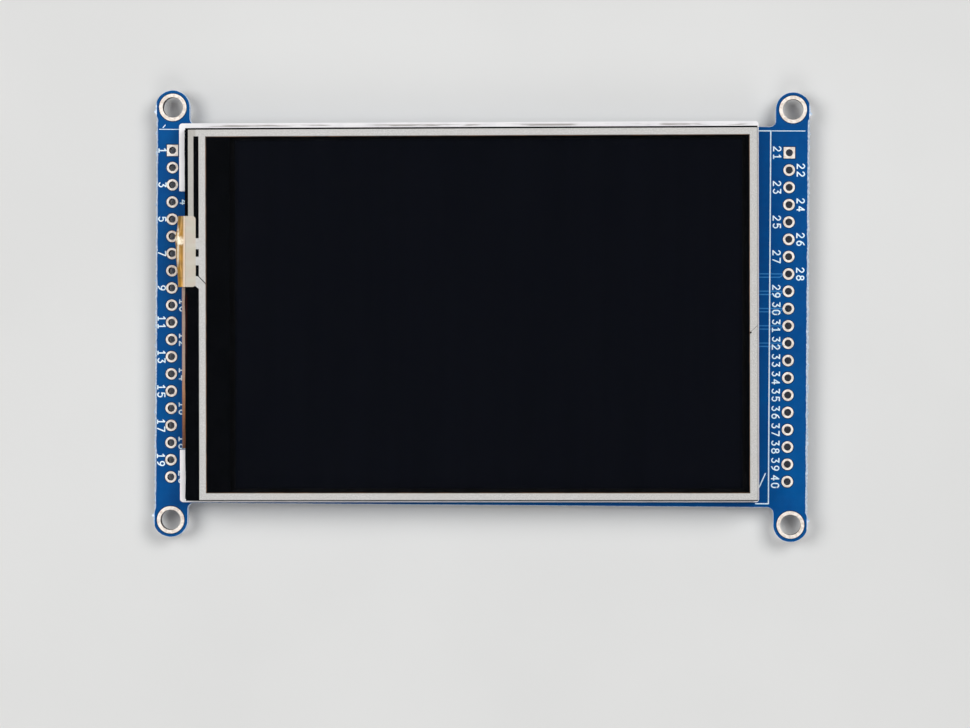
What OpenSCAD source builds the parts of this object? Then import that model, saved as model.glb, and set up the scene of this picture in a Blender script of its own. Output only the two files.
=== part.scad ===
// Colour display module: a backlit liquid crystal panel with a resistive touch sheet,
// taped to a carrier board with two columns of pin holes and four mounting ears.
// Origin: on the surface that the tallest parts of the back stand on, under the centre of the
// four mounting holes. +X runs along the board, +Z out of the screen.

/* [Board] */
// Width of the strip that the board keeps beside the panel for each pin column
side_strip = 5.75; // [5.4:0.01:12]
// How far the board's body stands out above and below the panel
edge_strip = 0.09; // [0:0.01:5]
// Thickness of the board
board_t = 1.6; // [0.8:0.1:2.4]
// Radius of each mounting ear
ear_r = 2.54; // [2.3:0.01:4]
// Radius of the inner corner beside each ear
ear_fillet = 0.9; // [0.3:0.1:1.5]
// Diameter of each mounting hole
mount_d = 3.0; // [2:0.1:3.4]
// Outer diameter of the plated ring around a mounting hole
mount_ring_d = 4.05; // [3.6:0.05:4.6]
// How far the burrs at the ends of the scored edges stand out
burr = 0.3; // [0.1:0.1:0.6]

/* [Pin holes] */
// Spacing of the pin holes
pin_pitch = 2.54; // [2:0.01:2.54]
// Finished diameter of a pin hole
pin_hole_d = 1.02; // [0.8:0.01:1.2]
// Outer diameter of a pin pad
pin_pad_d = 1.68; // [1.5:0.01:1.9]
// Least distance from the last pin hole to the end of its edge
pin_end_gap = 3.2; // [2:0.1:6]
// How far the right column stands in from the line of the mounting holes
right_column_inset = 0.51; // [0:0.01:2]
// Thickness of the plating in the holes and on the pads
plating_t = 0.05; // [0.03:0.01:0.08]

/* [Display panel] */
// Width of the panel over its moulded frame
panel_w = 85.02; // [71:0.01:105]
// Height of the panel over its moulded frame
panel_h = 55.7; // [50:0.01:68]
// Place of the panel's centre along the board
panel_dx = -1.66; // [-3:0.01:3]
// Place of the panel's centre across the board
panel_dy = 0.45; // [-2:0.01:2]
// Angle at which the panel was stuck down
panel_skew = 0.45; // [0:0.05:1]
// Thickness of the foam tape under the panel
tape_t = 0.6; // [0.5:0.05:1.5]
// Thickness of the frame's top, bottom and right walls
frame_wall = 1.1; // [0.8:0.05:1.6]
// Thickness of the frame's left wall, beside the flexes
frame_left_wall = 1.8; // [1.7:0.05:3]
// Width of the shelf that carries the glass
frame_shelf = 0.5; // [0.3:0.05:0.8]
// Clearance between the frame and each sheet or glass in it
panel_gap = 0.1; // [0.05:0.01:0.2]
// Thickness of the reflector film
reflector_t = 0.15; // [0.1:0.01:0.3]
// Thickness of the light guide
guide_t = 0.8; // [0.6:0.05:1.2]
// Thickness of the diffuser sheet
diffuser_t = 0.1; // [0.05:0.01:0.2]
// Thickness of each prism film
prism_t = 0.08; // [0.05:0.01:0.15]
// Thickness of the rim tape on the shelf
rim_tape_t = 0.06; // [0.04:0.01:0.1]
// Thickness of each polariser
polariser_t = 0.13; // [0.1:0.01:0.2]
// Thickness of each of the two display glasses
lcd_glass_t = 0.5; // [0.3:0.05:0.7]
// Width of the bare glass ledge that carries the driver chip
ledge_w = 3.0; // [2.6:0.1:5]
// Number of light emitting diodes in the backlight
led_count = 6; // [4:1:8]

/* [Touch sheet] */
// Width of the panel's frame left bare to the left of the touch sheet
touch_left = 1.05; // [0.4:0.01:1.2]
// Width of the frame left bare to the right of the touch sheet
touch_right = 0.18; // [0:0.01:1]
// Width of the frame left bare above the touch sheet
touch_top = 0.765; // [0:0.005:1]
// Width of the frame left bare below the touch sheet
touch_bottom = 0.255; // [0:0.005:1]
// Thickness of the black gasket tape
gasket_t = 0.25; // [0.15:0.01:0.5]
// Thickness of the touch glass
touch_glass_t = 1.1; // [0.7:0.05:1.8]
// Height of the air gap and its spacer
touch_gap_t = 0.1; // [0.08:0.01:0.15]
// Thickness of the clear top film
touch_film_t = 0.19; // [0.12:0.01:0.25]
// Thickness of the printed silver
silver_t = 0.02; // [0.01:0.01:0.04]
// Width of the silver band
silver_w = 0.97; // [0.8:0.01:1.4]
// Width of the silver band's right side
silver_right_w = 1.09; // [0.8:0.01:1.6]
// Clear edge below the silver band
silver_foot = 0.13; // [0.1:0.01:0.4]
// Clear edge above the silver band
silver_top = 0.24; // [0.1:0.01:0.4]
// Clear edge right of the silver band
silver_right = 0.03; // [0.02:0.01:0.4]
// Distance of the silver band from the left edge of the touch sheet
silver_left = 1.98; // [1.8:0.01:4]
// Distance of the outer trace from the left edge of the touch sheet
trace_left = 0.42; // [0.3:0.01:0.8]
// Width of the outer trace
trace_w = 0.8; // [0.5:0.01:1]
// Black border between the left edge of the touch sheet and the picture
window_left = 7.12; // [6:0.01:9]
// Black border at the right
window_right = 2.22; // [1.8:0.01:4]
// Black border above and below the picture
window_edge = 1.75; // [1.5:0.05:3]

/* [Flexes] */
// Thickness of the display flex
flex_t = 0.12; // [0.08:0.01:0.2]
// Thickness of the stiffener on its end
stiffener_t = 0.18; // [0.1:0.01:0.25]
// Width of the display flex at the glass
flex_w = 33.8; // [30:0.1:38]
// Place of the flex's centre across the panel
flex_dy = -3.05; // [-6:0.05:3]
// Distance from the panel's left edge to where the flex drops through the board
flex_drop = 8.65; // [8:0.05:12]
// How far inside the panel's outline the flex bend stays
flex_inset = 0.15; // [0.1:0.05:0.5]
// Gap between the panel's back and the flex under it
flex_under = 0.15; // [0.12:0.01:0.2]
// Mean radius of the bends in the board's slot
drop_r = 1.0; // [0.8:0.05:1.1]
// Width of the touch flex
touch_tail_w = 10.4; // [8:0.1:14]
// Place of the touch flex's centre across the panel
touch_tail_dy = 9; // [2:0.01:9.5]
// Length of the touch flex's patch under the film
touch_patch = 1.52; // [1.3:0.01:1.7]
// How far the touch flex bulges past the panel's outline
touch_bulge = 0.63; // [0.4:0.01:0.9]
// Outer radius of the touch flex's bends
touch_bend_r = 0.8; // [0.6:0.05:1.2]

/* [Flex socket] */
// Number of contacts
zif_count = 50; // [40:1:60]
// Spacing of the contacts
zif_pitch = 0.5; // [0.4:0.1:0.5]
// Height of the socket
zif_h = 2.0; // [1.9:0.05:2.6]
// Depth of the socket
zif_d = 4.6; // [4.3:0.1:6]
// Thickness of the socket's side walls
zif_side = 1.3; // [1.1:0.1:2]
// Height of the flex above the board inside the socket
zif_flex_z = 0.9; // [0.9:0.01:1]
// Radius of the latch's trunnions
latch_pin_r = 0.3; // [0.25:0.01:0.35]
// Running clearance around the trunnions
latch_play = 0.03; // [0.02:0.01:0.05]

/* [Card socket] */
// Width of the card socket
card_w = 14; // [13.8:0.1:16]
// Length of the card socket
card_l = 14.5; // [14:0.1:17]
// Height of the card socket
card_h = 1.9; // [1.9:0.05:2.2]
// Thickness of its steel shell
shell_t = 0.15; // [0.1:0.01:0.2]
// Width of the space for the card
card_space_w = 11.1; // [11.1:0.05:11.4]
// Travel of the push-push slider
slider_travel = 1.5; // [1:0.1:1.8]
// Running clearance around the slider
slider_play = 0.06; // [0.04:0.01:0.1]

/* [Parts on the back] */
// Height of the power inductor
coil_h = 2.0; // [1.8:0.05:2.6]
// Side of the power inductor
coil_w = 4.0; // [3.6:0.1:5]
// Height of the tantalum capacitors
tantalum_h = 2.0; // [1.6:0.05:2.6]
// Thickness of the chips' leads
lead_t = 0.15; // [0.1:0.01:0.2]
// Distance of the right group from the board's right edge
right_group = 20; // [18:0.5:24]

/* [Hidden] */
$fn = 48;
eps = 0.01;

// Heights above the surface that the module rests on
z_back = max(zif_h, card_h, coil_h, tantalum_h);
z_top = z_back + board_t;
z_panel = z_top + tape_t;

// Heights inside the panel, above its own back
z_guide = reflector_t;
z_diffuser = z_guide + guide_t;
z_prism = z_diffuser + diffuser_t;
z_rim = z_prism + 2 * prism_t;
z_rear_polariser = z_rim + rim_tape_t;
z_tft = z_rear_polariser + polariser_t;
z_filter = z_tft + lcd_glass_t;
z_front_polariser = z_filter + lcd_glass_t;
frame_h = z_front_polariser + polariser_t;
z_touch = frame_h + gasket_t;
z_spacer = z_touch + touch_glass_t;
z_film = z_spacer + touch_gap_t;

// Board outline and its columns of holes
board_w = panel_w + 2 * side_strip;
body_h = panel_h + 2 * edge_strip;
board_h = body_h + 4 * ear_r;
mount_x = board_w / 2 - ear_r;
mount_y = board_h / 2 - ear_r;
pin_count = floor((body_h - 2 * pin_end_gap) / pin_pitch) + 1;
left_column_x = -mount_x;
right_column_x = mount_x - right_column_inset;

// Cavities of the frame: glass above the shelf, light guide below it
glass_x0 = -panel_w / 2 + frame_left_wall;
glass_x1 = panel_w / 2 - frame_wall;
glass_h = panel_h - 2 * frame_wall;
light_x0 = glass_x0 + frame_shelf;
light_x1 = glass_x1 - frame_shelf;
light_h = glass_h - 2 * frame_shelf;
lip = 0.35; // the reflector's overlap on the frame
led_d = 1.0; // depth of a diode
led_strip_w = 1.6;
guide_x0 = light_x0 + led_d + 2 * panel_gap;

// Touch sheet
touch_x0 = -panel_w / 2 + touch_left;
touch_x1 = panel_w / 2 - touch_right;
touch_y0 = -panel_h / 2 + touch_bottom;
touch_y1 = panel_h / 2 - touch_top;
patch_x1 = touch_x0 + touch_patch;
tail_y0 = touch_tail_dy - touch_tail_w / 2;
tail_y1 = touch_tail_dy + touch_tail_w / 2;

// Display flex
flex_y0 = flex_dy - flex_w / 2;
flex_y1 = flex_dy + flex_w / 2;
flex_tail_w = (zif_count + 1) * zif_pitch;
flex_r = (z_filter + flex_under) / 2;
flex_bend_x = -panel_w / 2 + flex_inset + flex_r + flex_t;
drop_x = -panel_w / 2 + flex_drop;
wide_x1 = flex_bend_x + 2;
notch_play = 0.2;
notch_y1 = flex_y1 + 4.05;
bond_w = 1.0;
led_tail_w = 4;
led_flex_t = 0.08;
led_tail_r = (z_diffuser + 0.05) / 2;
// Height of the flex's upper face inside the socket, in the panel's frame
flex_end_z = -tape_t - board_t - zif_flex_z;

// Flex socket: its mouth faces the slot
zif_mouth = drop_x + drop_r + 1.0;
zif_insert = 2.3;
zif_play = 0.2;
zif_inner_w = flex_tail_w + 2 * zif_play;
zif_w = zif_inner_w + 2 * zif_side;
zif_floor = 0.45;
latch_r = 0.35;
latch_x = 2.0;
latch_z = zif_h - latch_r - 0.05;
contact_w = 0.2;
contact_play = 0.03;
contact_tail = 0.7;
anchor_t = 0.2;

// Card socket: its slot looks over the lower edge of the board
card_x = 6;
card_spot = [card_x, -body_h / 2];
card_floor = 0.4;
card_wall = 0.7;
rear_wall = 1.0;
card_space_x0 = -card_w / 2 + shell_t + card_wall;
card_space_x1 = card_space_x0 + card_space_w;
card_inner_h = card_h - shell_t;
card_contact_x0 = card_space_x0 + 1.7;
card_contact_pitch = 1.1;
card_contact_w = 0.5;
slider_x0 = card_space_x1 + slider_play;
slider_x1 = card_w / 2 - shell_t - slider_play;
slider_y0 = -card_l + rear_wall + slider_travel + 0.2;
slider_l = 6.6;
slider_top = 1.25;
slider_cx = (slider_x0 + slider_x1) / 2;
spring_r = 0.3;
spring_wire = 0.12;
spring_z = card_floor + slider_play + 0.42;
spring_pocket = 2.4;
spring_turns = 7;
cam_wire_r = 0.12;
cam_z = slider_top + 0.06 + cam_wire_r;
cam_groove_y = slider_y0 + 3.2;
cam_groove_w = 0.8;
cam_pivot_y = slider_y0 + slider_l + 1.5;

// A point of the panel, seen from the board
function on_board(p) = [
    panel_dx + p[0] * cos(panel_skew) - p[1] * sin(panel_skew),
    panel_dy + p[0] * sin(panel_skew) + p[1] * cos(panel_skew)];

slot_c = on_board([drop_x - 0.3, flex_dy]);
zif_c = on_board([zif_mouth, flex_dy]);
slot_w = 3.0;
slot_l = flex_tail_w + 1.6;

// Bodies of the parts on the back
logic_l = 6.5;
logic_w = 4.4;
logic_pins = 10;
coil_foot = 0.15;
coil_flange = 0.45;
coil_post_r = 0.9;
coil_flange_r = coil_w / 2 - 0.5;
tantalum_l = 3.5;
tantalum_w = 2.8;
capacitor_size = [2.0, 1.25, 0.9, 0.4]; // length, width, height, metal end
resistor_size = [1.6, 0.8, 0.45, 0.3];

// Groups of parts on the back
right_x = board_w / 2 - right_group;
top_y = body_h / 2;
chip_spots = [[right_x - 5, 9, 90], [right_x - 5, -3, 90]];
regulator_spot = [-13, top_y - 9, 90];
boost_spot = [right_x - 1, top_y - 6.5, 0];
small_spots = [[-2, top_y - 7, 90], [right_x + 5, 2, 0]];
coil_spot = [right_x + 5.5, top_y - 6.5];
diode_spot = [right_x + 11.5, top_y - 6.5];
tantalum_spots = [[-21.5, top_y - 9, 90], [right_x + 7, -top_y + 7, 0]];
capacitor_spots = [[-17.3, top_y - 15, 0], [-8.8, top_y - 15, 0], [-2, top_y - 11, 0],
    [right_x - 1, top_y - 10.5, 0], [right_x + 11.5, top_y - 11, 90], [right_x + 0.8, 10.5, 90],
    [right_x + 0.8, -1.5, 90], [card_x - 10.5, -top_y + 12, 90], [card_x - 10.5, -top_y + 7, 90],
    [right_x + 7, -top_y + 12, 0]];
resistor_spots = [[-2, top_y - 3.5, 0], [2.5, top_y - 7, 90], [right_x + 9, 2, 90],
    [right_x + 5, -1.5, 0], [right_x + 5, 5.5, 0], [right_x - 10.5, 12, 90],
    [right_x - 10.5, 9, 90], [right_x - 10.5, 6, 90], [right_x - 10.5, 0, 90],
    [right_x - 10.5, -3, 90], [right_x - 10.5, -6, 90], [card_x + 9.5, -top_y + 13, 90]];
jumper_spots = [for (i = [0:3]) [-6 + 3.2 * i, 2]];

// ---------------------------------------------------------------- shared shapes

// Upright box from its corner points
module block(x0, x1, y0, y1, z0, z1) {
    translate([x0, y0, z0]) cube([x1 - x0, y1 - y0, z1 - z0]);
}

// Rectangle from its corner points
module field(x0, x1, y0, y1) {
    translate([x0, y0]) square([x1 - x0, y1 - y0]);
}

// Rectangle with round corners, centred
module rounded(w, h, r) {
    square([w - 2 * r, h], center = true);
    square([w, h - 2 * r], center = true);
    for (x = [-1, 1], y = [-1, 1])
        translate([x * (w / 2 - r), y * (h / 2 - r)]) circle(r);
}

// A quarter of a ring, in the quadrant that sx and sy point to
module quarter_ring(r_in, t, sx, sy) {
    r = r_in + t;
    intersection() {
        difference() {
            circle(r);
            circle(r_in);
        }
        translate([sx > 0 ? 0 : -r, sy > 0 ? 0 : -r]) square(r);
    }
}

// Carries a profile drawn in X and Z along Y from y0 to y1
module along_y(y0, y1) {
    translate([0, y1, 0]) rotate([90, 0, 0]) linear_extrude(y1 - y0) children();
}

// Carries a profile drawn in Y and Z along X from x0 to x1
module along_x(x0, x1) {
    translate([x0, 0, 0]) rotate([90, 0, 90]) linear_extrude(x1 - x0) children();
}

// Places what is modelled in the panel's own frame
module in_panel() {
    translate([panel_dx, panel_dy, z_panel]) rotate([0, 0, panel_skew]) children();
}

// Places a part on the board's back: its own +Z points away from the board
module on_back(spot) {
    turn = len(spot) > 2 ? spot[2] : 0;
    translate([spot[0], spot[1], z_back]) rotate([180, 0, 0]) rotate([0, 0, turn]) children();
}

// ---------------------------------------------------------------- board

module ear_corner(sx, sy) {
    translate([sx * (board_w / 2 - 2 * ear_r), sy * body_h / 2]) difference() {
        translate([sx > 0 ? -ear_fillet : -eps, sy > 0 ? -eps : -ear_fillet])
            square(ear_fillet + eps);
        translate([-sx * ear_fillet, sy * ear_fillet]) circle(ear_fillet);
    }
}

// Small point where the scored edge ends and the ear's milled arc begins
module burr_tip(sx, sy) {
    foot = ear_r / 4;
    translate([sx * board_w / 2, sy * (mount_y - foot)]) rotate(sx > 0 ? 0 : 180)
        polygon([[-foot, -3 * burr], [burr, 0], [-foot, 3 * burr]]);
}

module board_outline() {
    square([board_w, body_h], center = true);
    for (sx = [-1, 1], sy = [-1, 1]) {
        translate([sx * mount_x, sy * mount_y]) circle(ear_r);
        translate([sx * mount_x, sy * (mount_y + body_h / 2 - eps) / 2])
            square([2 * ear_r, mount_y - body_h / 2 + eps], center = true);
        ear_corner(sx, sy);
        burr_tip(sx, sy);
    }
}

module pin_spots(x) {
    for (i = [0:pin_count - 1])
        translate([x, ((pin_count - 1) / 2 - i) * pin_pitch, 0]) children();
}

module mount_spots() {
    for (sx = [-1, 1], sy = [-1, 1]) translate([sx * mount_x, sy * mount_y, 0]) children();
}

module board() {
    color("#0a55a0") translate([0, 0, z_back]) difference() {
        linear_extrude(board_t) board_outline();
        mount_spots() translate([0, 0, -1]) cylinder(d = mount_d + 2 * plating_t, h = board_t + 2);
        for (x = [left_column_x, right_column_x])
            pin_spots(x) translate([0, 0, -1])
                cylinder(d = pin_hole_d + 2 * plating_t, h = board_t + 2);
        translate([slot_c[0], slot_c[1], -1])
            linear_extrude(board_t + 2) rounded(slot_w, slot_l, 0.8);
    }
}

// Plated barrel with a pad on each face of the board
module eyelet(hole_d, pad_d, square_pad) {
    difference() {
        union() {
            translate([0, 0, z_back - plating_t])
                cylinder(d = hole_d + 2 * plating_t, h = board_t + 2 * plating_t);
            for (z = [z_back - plating_t, z_top])
                translate([0, 0, z]) if (square_pad)
                    linear_extrude(plating_t) square(pad_d, center = true);
                else
                    cylinder(d = pad_d, h = plating_t);
        }
        translate([0, 0, z_back - 1]) cylinder(d = hole_d, h = board_t + 2);
    }
}

module mount_hole_plating() {
    color("#d8cfb8") mount_spots() eyelet(mount_d, mount_ring_d, false);
}

module header_pads(x) {
    color("#cfc4b4") for (i = [0:pin_count - 1])
        translate([x, ((pin_count - 1) / 2 - i) * pin_pitch, 0])
            eyelet(pin_hole_d, pin_pad_d, i == 0);
}

module header_pads_left() {
    header_pads(left_column_x);
}

module header_pads_right() {
    header_pads(right_column_x);
}

module jumper_pads() {
    color("#cfc4b4") for (s = jumper_spots) on_back(s)
        for (y = [-0.95, 0.95]) translate([0, y, plating_t / 2])
            cube([1.4, 1.5, plating_t], center = true);
}

// ---------------------------------------------------------------- panel: frame and light

module foam_tape() {
    tape_w = 7;
    x0 = zif_mouth + 2;
    x1 = glass_x1 - 2;
    y = min(panel_h, body_h) / 2 - 2.5 - tape_w;
    color("#e9e6dc") in_panel() translate([0, 0, -tape_t]) {
        block(x0, x1, y, y + tape_w, 0, tape_t);
        block(x0, x1, -y - tape_w, -y, 0, tape_t);
        block(x1 - tape_w, x1, -y + 1, y - 1, 0, tape_t);
    }
}

module panel_frame() {
    notch_x = flex_bend_x + 0.05;
    color("#f2f3f1") in_panel() difference() {
        linear_extrude(frame_h) rounded(panel_w, panel_h, 0.5);
        block(glass_x0, glass_x1, -glass_h / 2, glass_h / 2, z_rim, frame_h + 1);
        block(light_x0, light_x1, -light_h / 2, light_h / 2, -1, frame_h + 1);
        // recess for the reflector
        block(light_x0 - lip, light_x1 + lip, -light_h / 2 - lip, light_h / 2 + lip, -1,
            reflector_t);
        // opening for the flexes in the left wall, and the lowered wall behind it
        block(-panel_w / 2 - 1, notch_x, flex_y0 - notch_play, notch_y1, -1, frame_h + 1);
        block(-panel_w / 2 - 1, glass_x0 + eps, flex_y0 - notch_play, notch_y1,
            z_filter - 0.1, frame_h + 1);
        // way out for the strip of the diodes
        block(-panel_w / 2 - 1, light_x0 + eps, flex_dy - led_tail_w / 2 - panel_gap,
            flex_dy + led_tail_w / 2 + panel_gap, z_diffuser - 0.05, frame_h + 1);
    }
}

module reflector_film() {
    color("#e8ecee") in_panel()
        block(light_x0 - lip + panel_gap, light_x1 + lip - panel_gap,
            -light_h / 2 - lip + panel_gap, light_h / 2 + lip - panel_gap, 0, reflector_t);
}

// A sheet of the backlight, from z upwards
module light_sheet(x0, z, t) {
    block(x0, light_x1 - panel_gap, -light_h / 2 + panel_gap, light_h / 2 - panel_gap, z, z + t);
}

module light_guide() {
    color("#e6f2f0") in_panel() light_sheet(guide_x0, z_guide, guide_t);
}

module diffuser_sheet() {
    color("#f6f6f2") in_panel() light_sheet(guide_x0 + 0.7, z_diffuser, diffuser_t);
}

module prism_film_lower() {
    color("#dfe6e6") in_panel() light_sheet(guide_x0 + 0.7, z_prism, prism_t);
}

module prism_film_upper() {
    color("#dfe6e6") in_panel() light_sheet(guide_x0 + 0.7, z_prism + prism_t, prism_t);
}

module rim_tape() {
    color("#1a1a1c") in_panel() difference() {
        block(glass_x0 + panel_gap, glass_x1 - panel_gap, -glass_h / 2 + panel_gap,
            glass_h / 2 - panel_gap, z_rim, z_rear_polariser);
        block(guide_x0 + 1.6, light_x1 - 0.8, -light_h / 2 + 0.25, light_h / 2 - 0.25,
            z_rim - 1, z_rear_polariser + 1);
    }
}

// Strip that carries the diodes, with a tail that folds under the panel
module led_flex() {
    led_tail_reach = 3.0;
    color("#f3ead0") in_panel() {
        block(light_x0 + panel_gap / 2, light_x0 + led_strip_w, -light_h / 2 + 1,
            light_h / 2 - 1, z_diffuser, z_diffuser + led_flex_t);
        along_y(flex_dy - led_tail_w / 2, flex_dy + led_tail_w / 2) {
            field(flex_bend_x, light_x0 + led_strip_w, z_diffuser, z_diffuser + led_flex_t);
            translate([flex_bend_x, z_diffuser - led_tail_r]) {
                quarter_ring(led_tail_r, led_flex_t, -1, 1);
                quarter_ring(led_tail_r, led_flex_t, -1, -1);
            }
            field(flex_bend_x, flex_bend_x + led_tail_reach, -0.05 - led_flex_t, -0.05);
        }
    }
}

module backlight_leds() {
    led_w = 3.0;
    color("#fff3b0") in_panel() for (i = [0:led_count - 1]) {
        y = ((i + 0.5) / led_count - 0.5) * (light_h - 2);
        block(light_x0 + panel_gap, light_x0 + panel_gap + led_d, y - led_w / 2, y + led_w / 2,
            z_diffuser - 0.7, z_diffuser);
    }
}

// ---------------------------------------------------------------- panel: glasses

module lcd_sheet(x0, z, t) {
    block(x0, glass_x1 - panel_gap, -glass_h / 2 + panel_gap, glass_h / 2 - panel_gap, z, z + t);
}

module rear_polariser() {
    color("#2a2d38") in_panel() lcd_sheet(glass_x0 + ledge_w - 0.4, z_rear_polariser, polariser_t);
}

module tft_glass() {
    color("#a8bcc0") in_panel() lcd_sheet(glass_x0 + panel_gap, z_tft, lcd_glass_t);
}

module colour_filter_glass() {
    color("#15161c") in_panel() lcd_sheet(glass_x0 + ledge_w, z_filter, lcd_glass_t);
}

module front_polariser() {
    color("#101117") in_panel() lcd_sheet(glass_x0 + ledge_w + 0.4, z_front_polariser, polariser_t);
}

module driver_chip() {
    chip_x = glass_x0 + panel_gap + bond_w + 0.35;
    color("#3c3f46") in_panel()
        block(chip_x, chip_x + 0.9, flex_dy - 9.5, flex_dy + 9.5, z_filter, z_filter + 0.3);
}

// ---------------------------------------------------------------- flexes

// Outline of the display flex under the panel: wide at the bend, narrow towards the slot
module flex_under_outline() {
    polygon([[flex_bend_x, flex_y0], [wide_x1, flex_y0], [wide_x1 + 2, flex_dy - flex_tail_w / 2],
        [drop_x - drop_r, flex_dy - flex_tail_w / 2], [drop_x - drop_r, flex_dy + flex_tail_w / 2],
        [wide_x1 + 2, flex_dy + flex_tail_w / 2], [wide_x1, flex_y1], [flex_bend_x, flex_y1]]);
}

module display_flex() {
    z_low = -flex_under - flex_t;
    r_in = drop_r - flex_t / 2;
    color("#b5652e") in_panel() {
        along_y(flex_y0, flex_y1) {
            field(flex_bend_x, glass_x0 + panel_gap + bond_w, z_filter, z_filter + flex_t);
            translate([flex_bend_x, z_filter - flex_r]) {
                quarter_ring(flex_r, flex_t, -1, 1);
                quarter_ring(flex_r, flex_t, -1, -1);
            }
        }
        translate([0, 0, z_low]) linear_extrude(flex_t) flex_under_outline();
        along_y(flex_dy - flex_tail_w / 2, flex_dy + flex_tail_w / 2) {
            translate([drop_x - drop_r, z_low - r_in]) quarter_ring(r_in, flex_t, 1, 1);
            field(drop_x - flex_t / 2, drop_x + flex_t / 2, flex_end_z + r_in, z_low - r_in);
            translate([drop_x + drop_r, flex_end_z + r_in]) quarter_ring(r_in, flex_t, -1, -1);
            field(drop_x + drop_r, zif_mouth + zif_insert, flex_end_z - flex_t, flex_end_z);
        }
    }
}

module flex_stiffener() {
    color("#2d63b8") in_panel()
        block(zif_mouth - 0.8, zif_mouth + zif_insert, flex_dy - flex_tail_w / 2,
            flex_dy + flex_tail_w / 2, flex_end_z - flex_t - stiffener_t, flex_end_z - flex_t);
}

// ---------------------------------------------------------------- touch sheet

module touch_outline() {
    field(touch_x0, touch_x1, touch_y0, touch_y1);
}

module touch_window(grow) {
    field(touch_x0 + window_left - grow, touch_x1 - window_right + grow,
        touch_y0 + window_edge - grow, touch_y1 - window_edge + grow);
}

module patch_outline() {
    translate([(touch_x0 + patch_x1) / 2, touch_tail_dy]) rounded(touch_patch, touch_tail_w, 0.5);
    field(touch_x0 - eps, touch_x0 + touch_patch / 2, tail_y0, tail_y1);
}

module touch_gasket() {
    color("#0b0b0d") in_panel() translate([0, 0, frame_h]) linear_extrude(gasket_t)
        difference() {
            touch_outline();
            touch_window(0);
        }
}

module touch_glass() {
    color("#20242a") in_panel() translate([0, 0, z_touch])
        linear_extrude(touch_glass_t) touch_outline();
}

// Silver printed on the underside of the film: a closed band, the outer trace and its links
module silver_outline() {
    x0 = touch_x0 + silver_left;
    x1 = touch_x1 - silver_right;
    y0 = touch_y0 + silver_foot;
    y1 = touch_y1 - silver_top;
    trace_x0 = touch_x0 + trace_left;
    difference() {
        union() {
            difference() {
                field(x0, x1, y0, y1);
                field(x0 + silver_w, x1 - silver_right_w, y0 + silver_w, y1 - silver_w);
            }
            field(trace_x0, x0 + eps, y1 - silver_w, y1);
            field(trace_x0, trace_x0 + trace_w, tail_y1 - 0.5, y1);
            for (link = [[1.13, 1.6], [-1.4, 1.26]]) // its place and width
                translate([0, touch_tail_dy + link[0]])
                    field(patch_x1 - 0.3, x0 + eps, -link[1] / 2, link[1] / 2);
            // slanting link from the foot of the patch into the band
            polygon([[patch_x1 - 0.3, tail_y0 + 1.6], [patch_x1 - 0.3, tail_y0 + 0.3],
                [x0 + 0.5, tail_y0 - 0.7], [x0 + 0.5, tail_y0 + 1.5]]);
        }
        patch_outline();
        // fine cut that parts the slanting link from the band above it
        polygon([[patch_x1, tail_y0 + 2.08], [patch_x1, tail_y0 + 1.9],
            [x0 + silver_w + 0.1, tail_y0 + 0.28], [x0 + silver_w + 0.1, tail_y0 + 0.46]]);
    }
}

module touch_spacer() {
    color("#2b2f36") in_panel() difference() {
        translate([0, 0, z_spacer]) linear_extrude(touch_gap_t) difference() {
            touch_outline();
            touch_window(0.6);
            patch_outline();
        }
        translate([0, 0, z_film - silver_t]) linear_extrude(1) silver_outline();
    }
}

module silver_bands() {
    color("#c6c4bd") in_panel() translate([0, 0, z_film - silver_t])
        linear_extrude(silver_t) silver_outline();
}

module touch_film() {
    color("#2a2f38") in_panel() translate([0, 0, z_film])
        linear_extrude(touch_film_t) touch_outline();
}

// The touch sheet's own flex: over the left edge, down, and under the panel to the display flex
module touch_flex() {
    reach = 4.5;
    out_x = -panel_w / 2 - touch_bulge;
    r_in = touch_bend_r - touch_gap_t;
    bend_x = out_x + touch_bend_r;
    z_low = -flex_under - flex_t - touch_gap_t;
    color("#d9a441") in_panel() {
        translate([0, 0, z_spacer]) linear_extrude(touch_gap_t) patch_outline();
        along_y(tail_y0, tail_y1) {
            field(bend_x, touch_x0 + touch_patch / 2, z_spacer, z_film);
            translate([bend_x, z_spacer - r_in]) quarter_ring(r_in, touch_gap_t, -1, 1);
            field(out_x, out_x + touch_gap_t, z_low + touch_bend_r, z_spacer - r_in);
            translate([bend_x, z_low + touch_bend_r]) quarter_ring(r_in, touch_gap_t, -1, -1);
            field(bend_x, bend_x + reach, z_low, z_low + touch_gap_t);
        }
    }
}

// ---------------------------------------------------------------- flex socket

// Places the contacts side by side along the socket
module contact_row() {
    for (i = [0:zif_count - 1])
        translate([0, (i - (zif_count - 1) / 2) * zif_pitch, 0]) children();
}

module flex_socket_housing() {
    color("#3a3936") on_back(zif_c) difference() {
        union() {
            block(0, zif_d, -zif_w / 2, zif_w / 2, 0, zif_floor);
            block(latch_x + 0.75, zif_d, -zif_w / 2, zif_w / 2, 0, zif_h);
            for (s = [-1, 1])
                translate([zif_d / 2, s * (zif_inner_w + zif_side) / 2, zif_h / 2])
                    cube([zif_d, zif_side, zif_h], center = true);
        }
        // slot for the end of the flex
        block(-1, latch_x + 1.1, -zif_inner_w / 2, zif_inner_w / 2, zif_flex_z - 0.05,
            zif_flex_z + flex_t + stiffener_t + 0.05);
        contact_row() block(0.5, zif_d + 1, -contact_w / 2 - contact_play,
            contact_w / 2 + contact_play, -1, zif_flex_z);
        // open seats for the latch's trunnions
        for (s = [-1, 1]) {
            y = s * (zif_inner_w / 2 + 0.5);
            translate([latch_x, y, latch_z]) rotate([90, 0, 0])
                cylinder(r = latch_pin_r + latch_play, h = 1.04, center = true);
            translate([latch_x, y, latch_z + 0.5])
                cube([2 * (latch_pin_r + latch_play), 1.04, 1], center = true);
        }
    }
}

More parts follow.
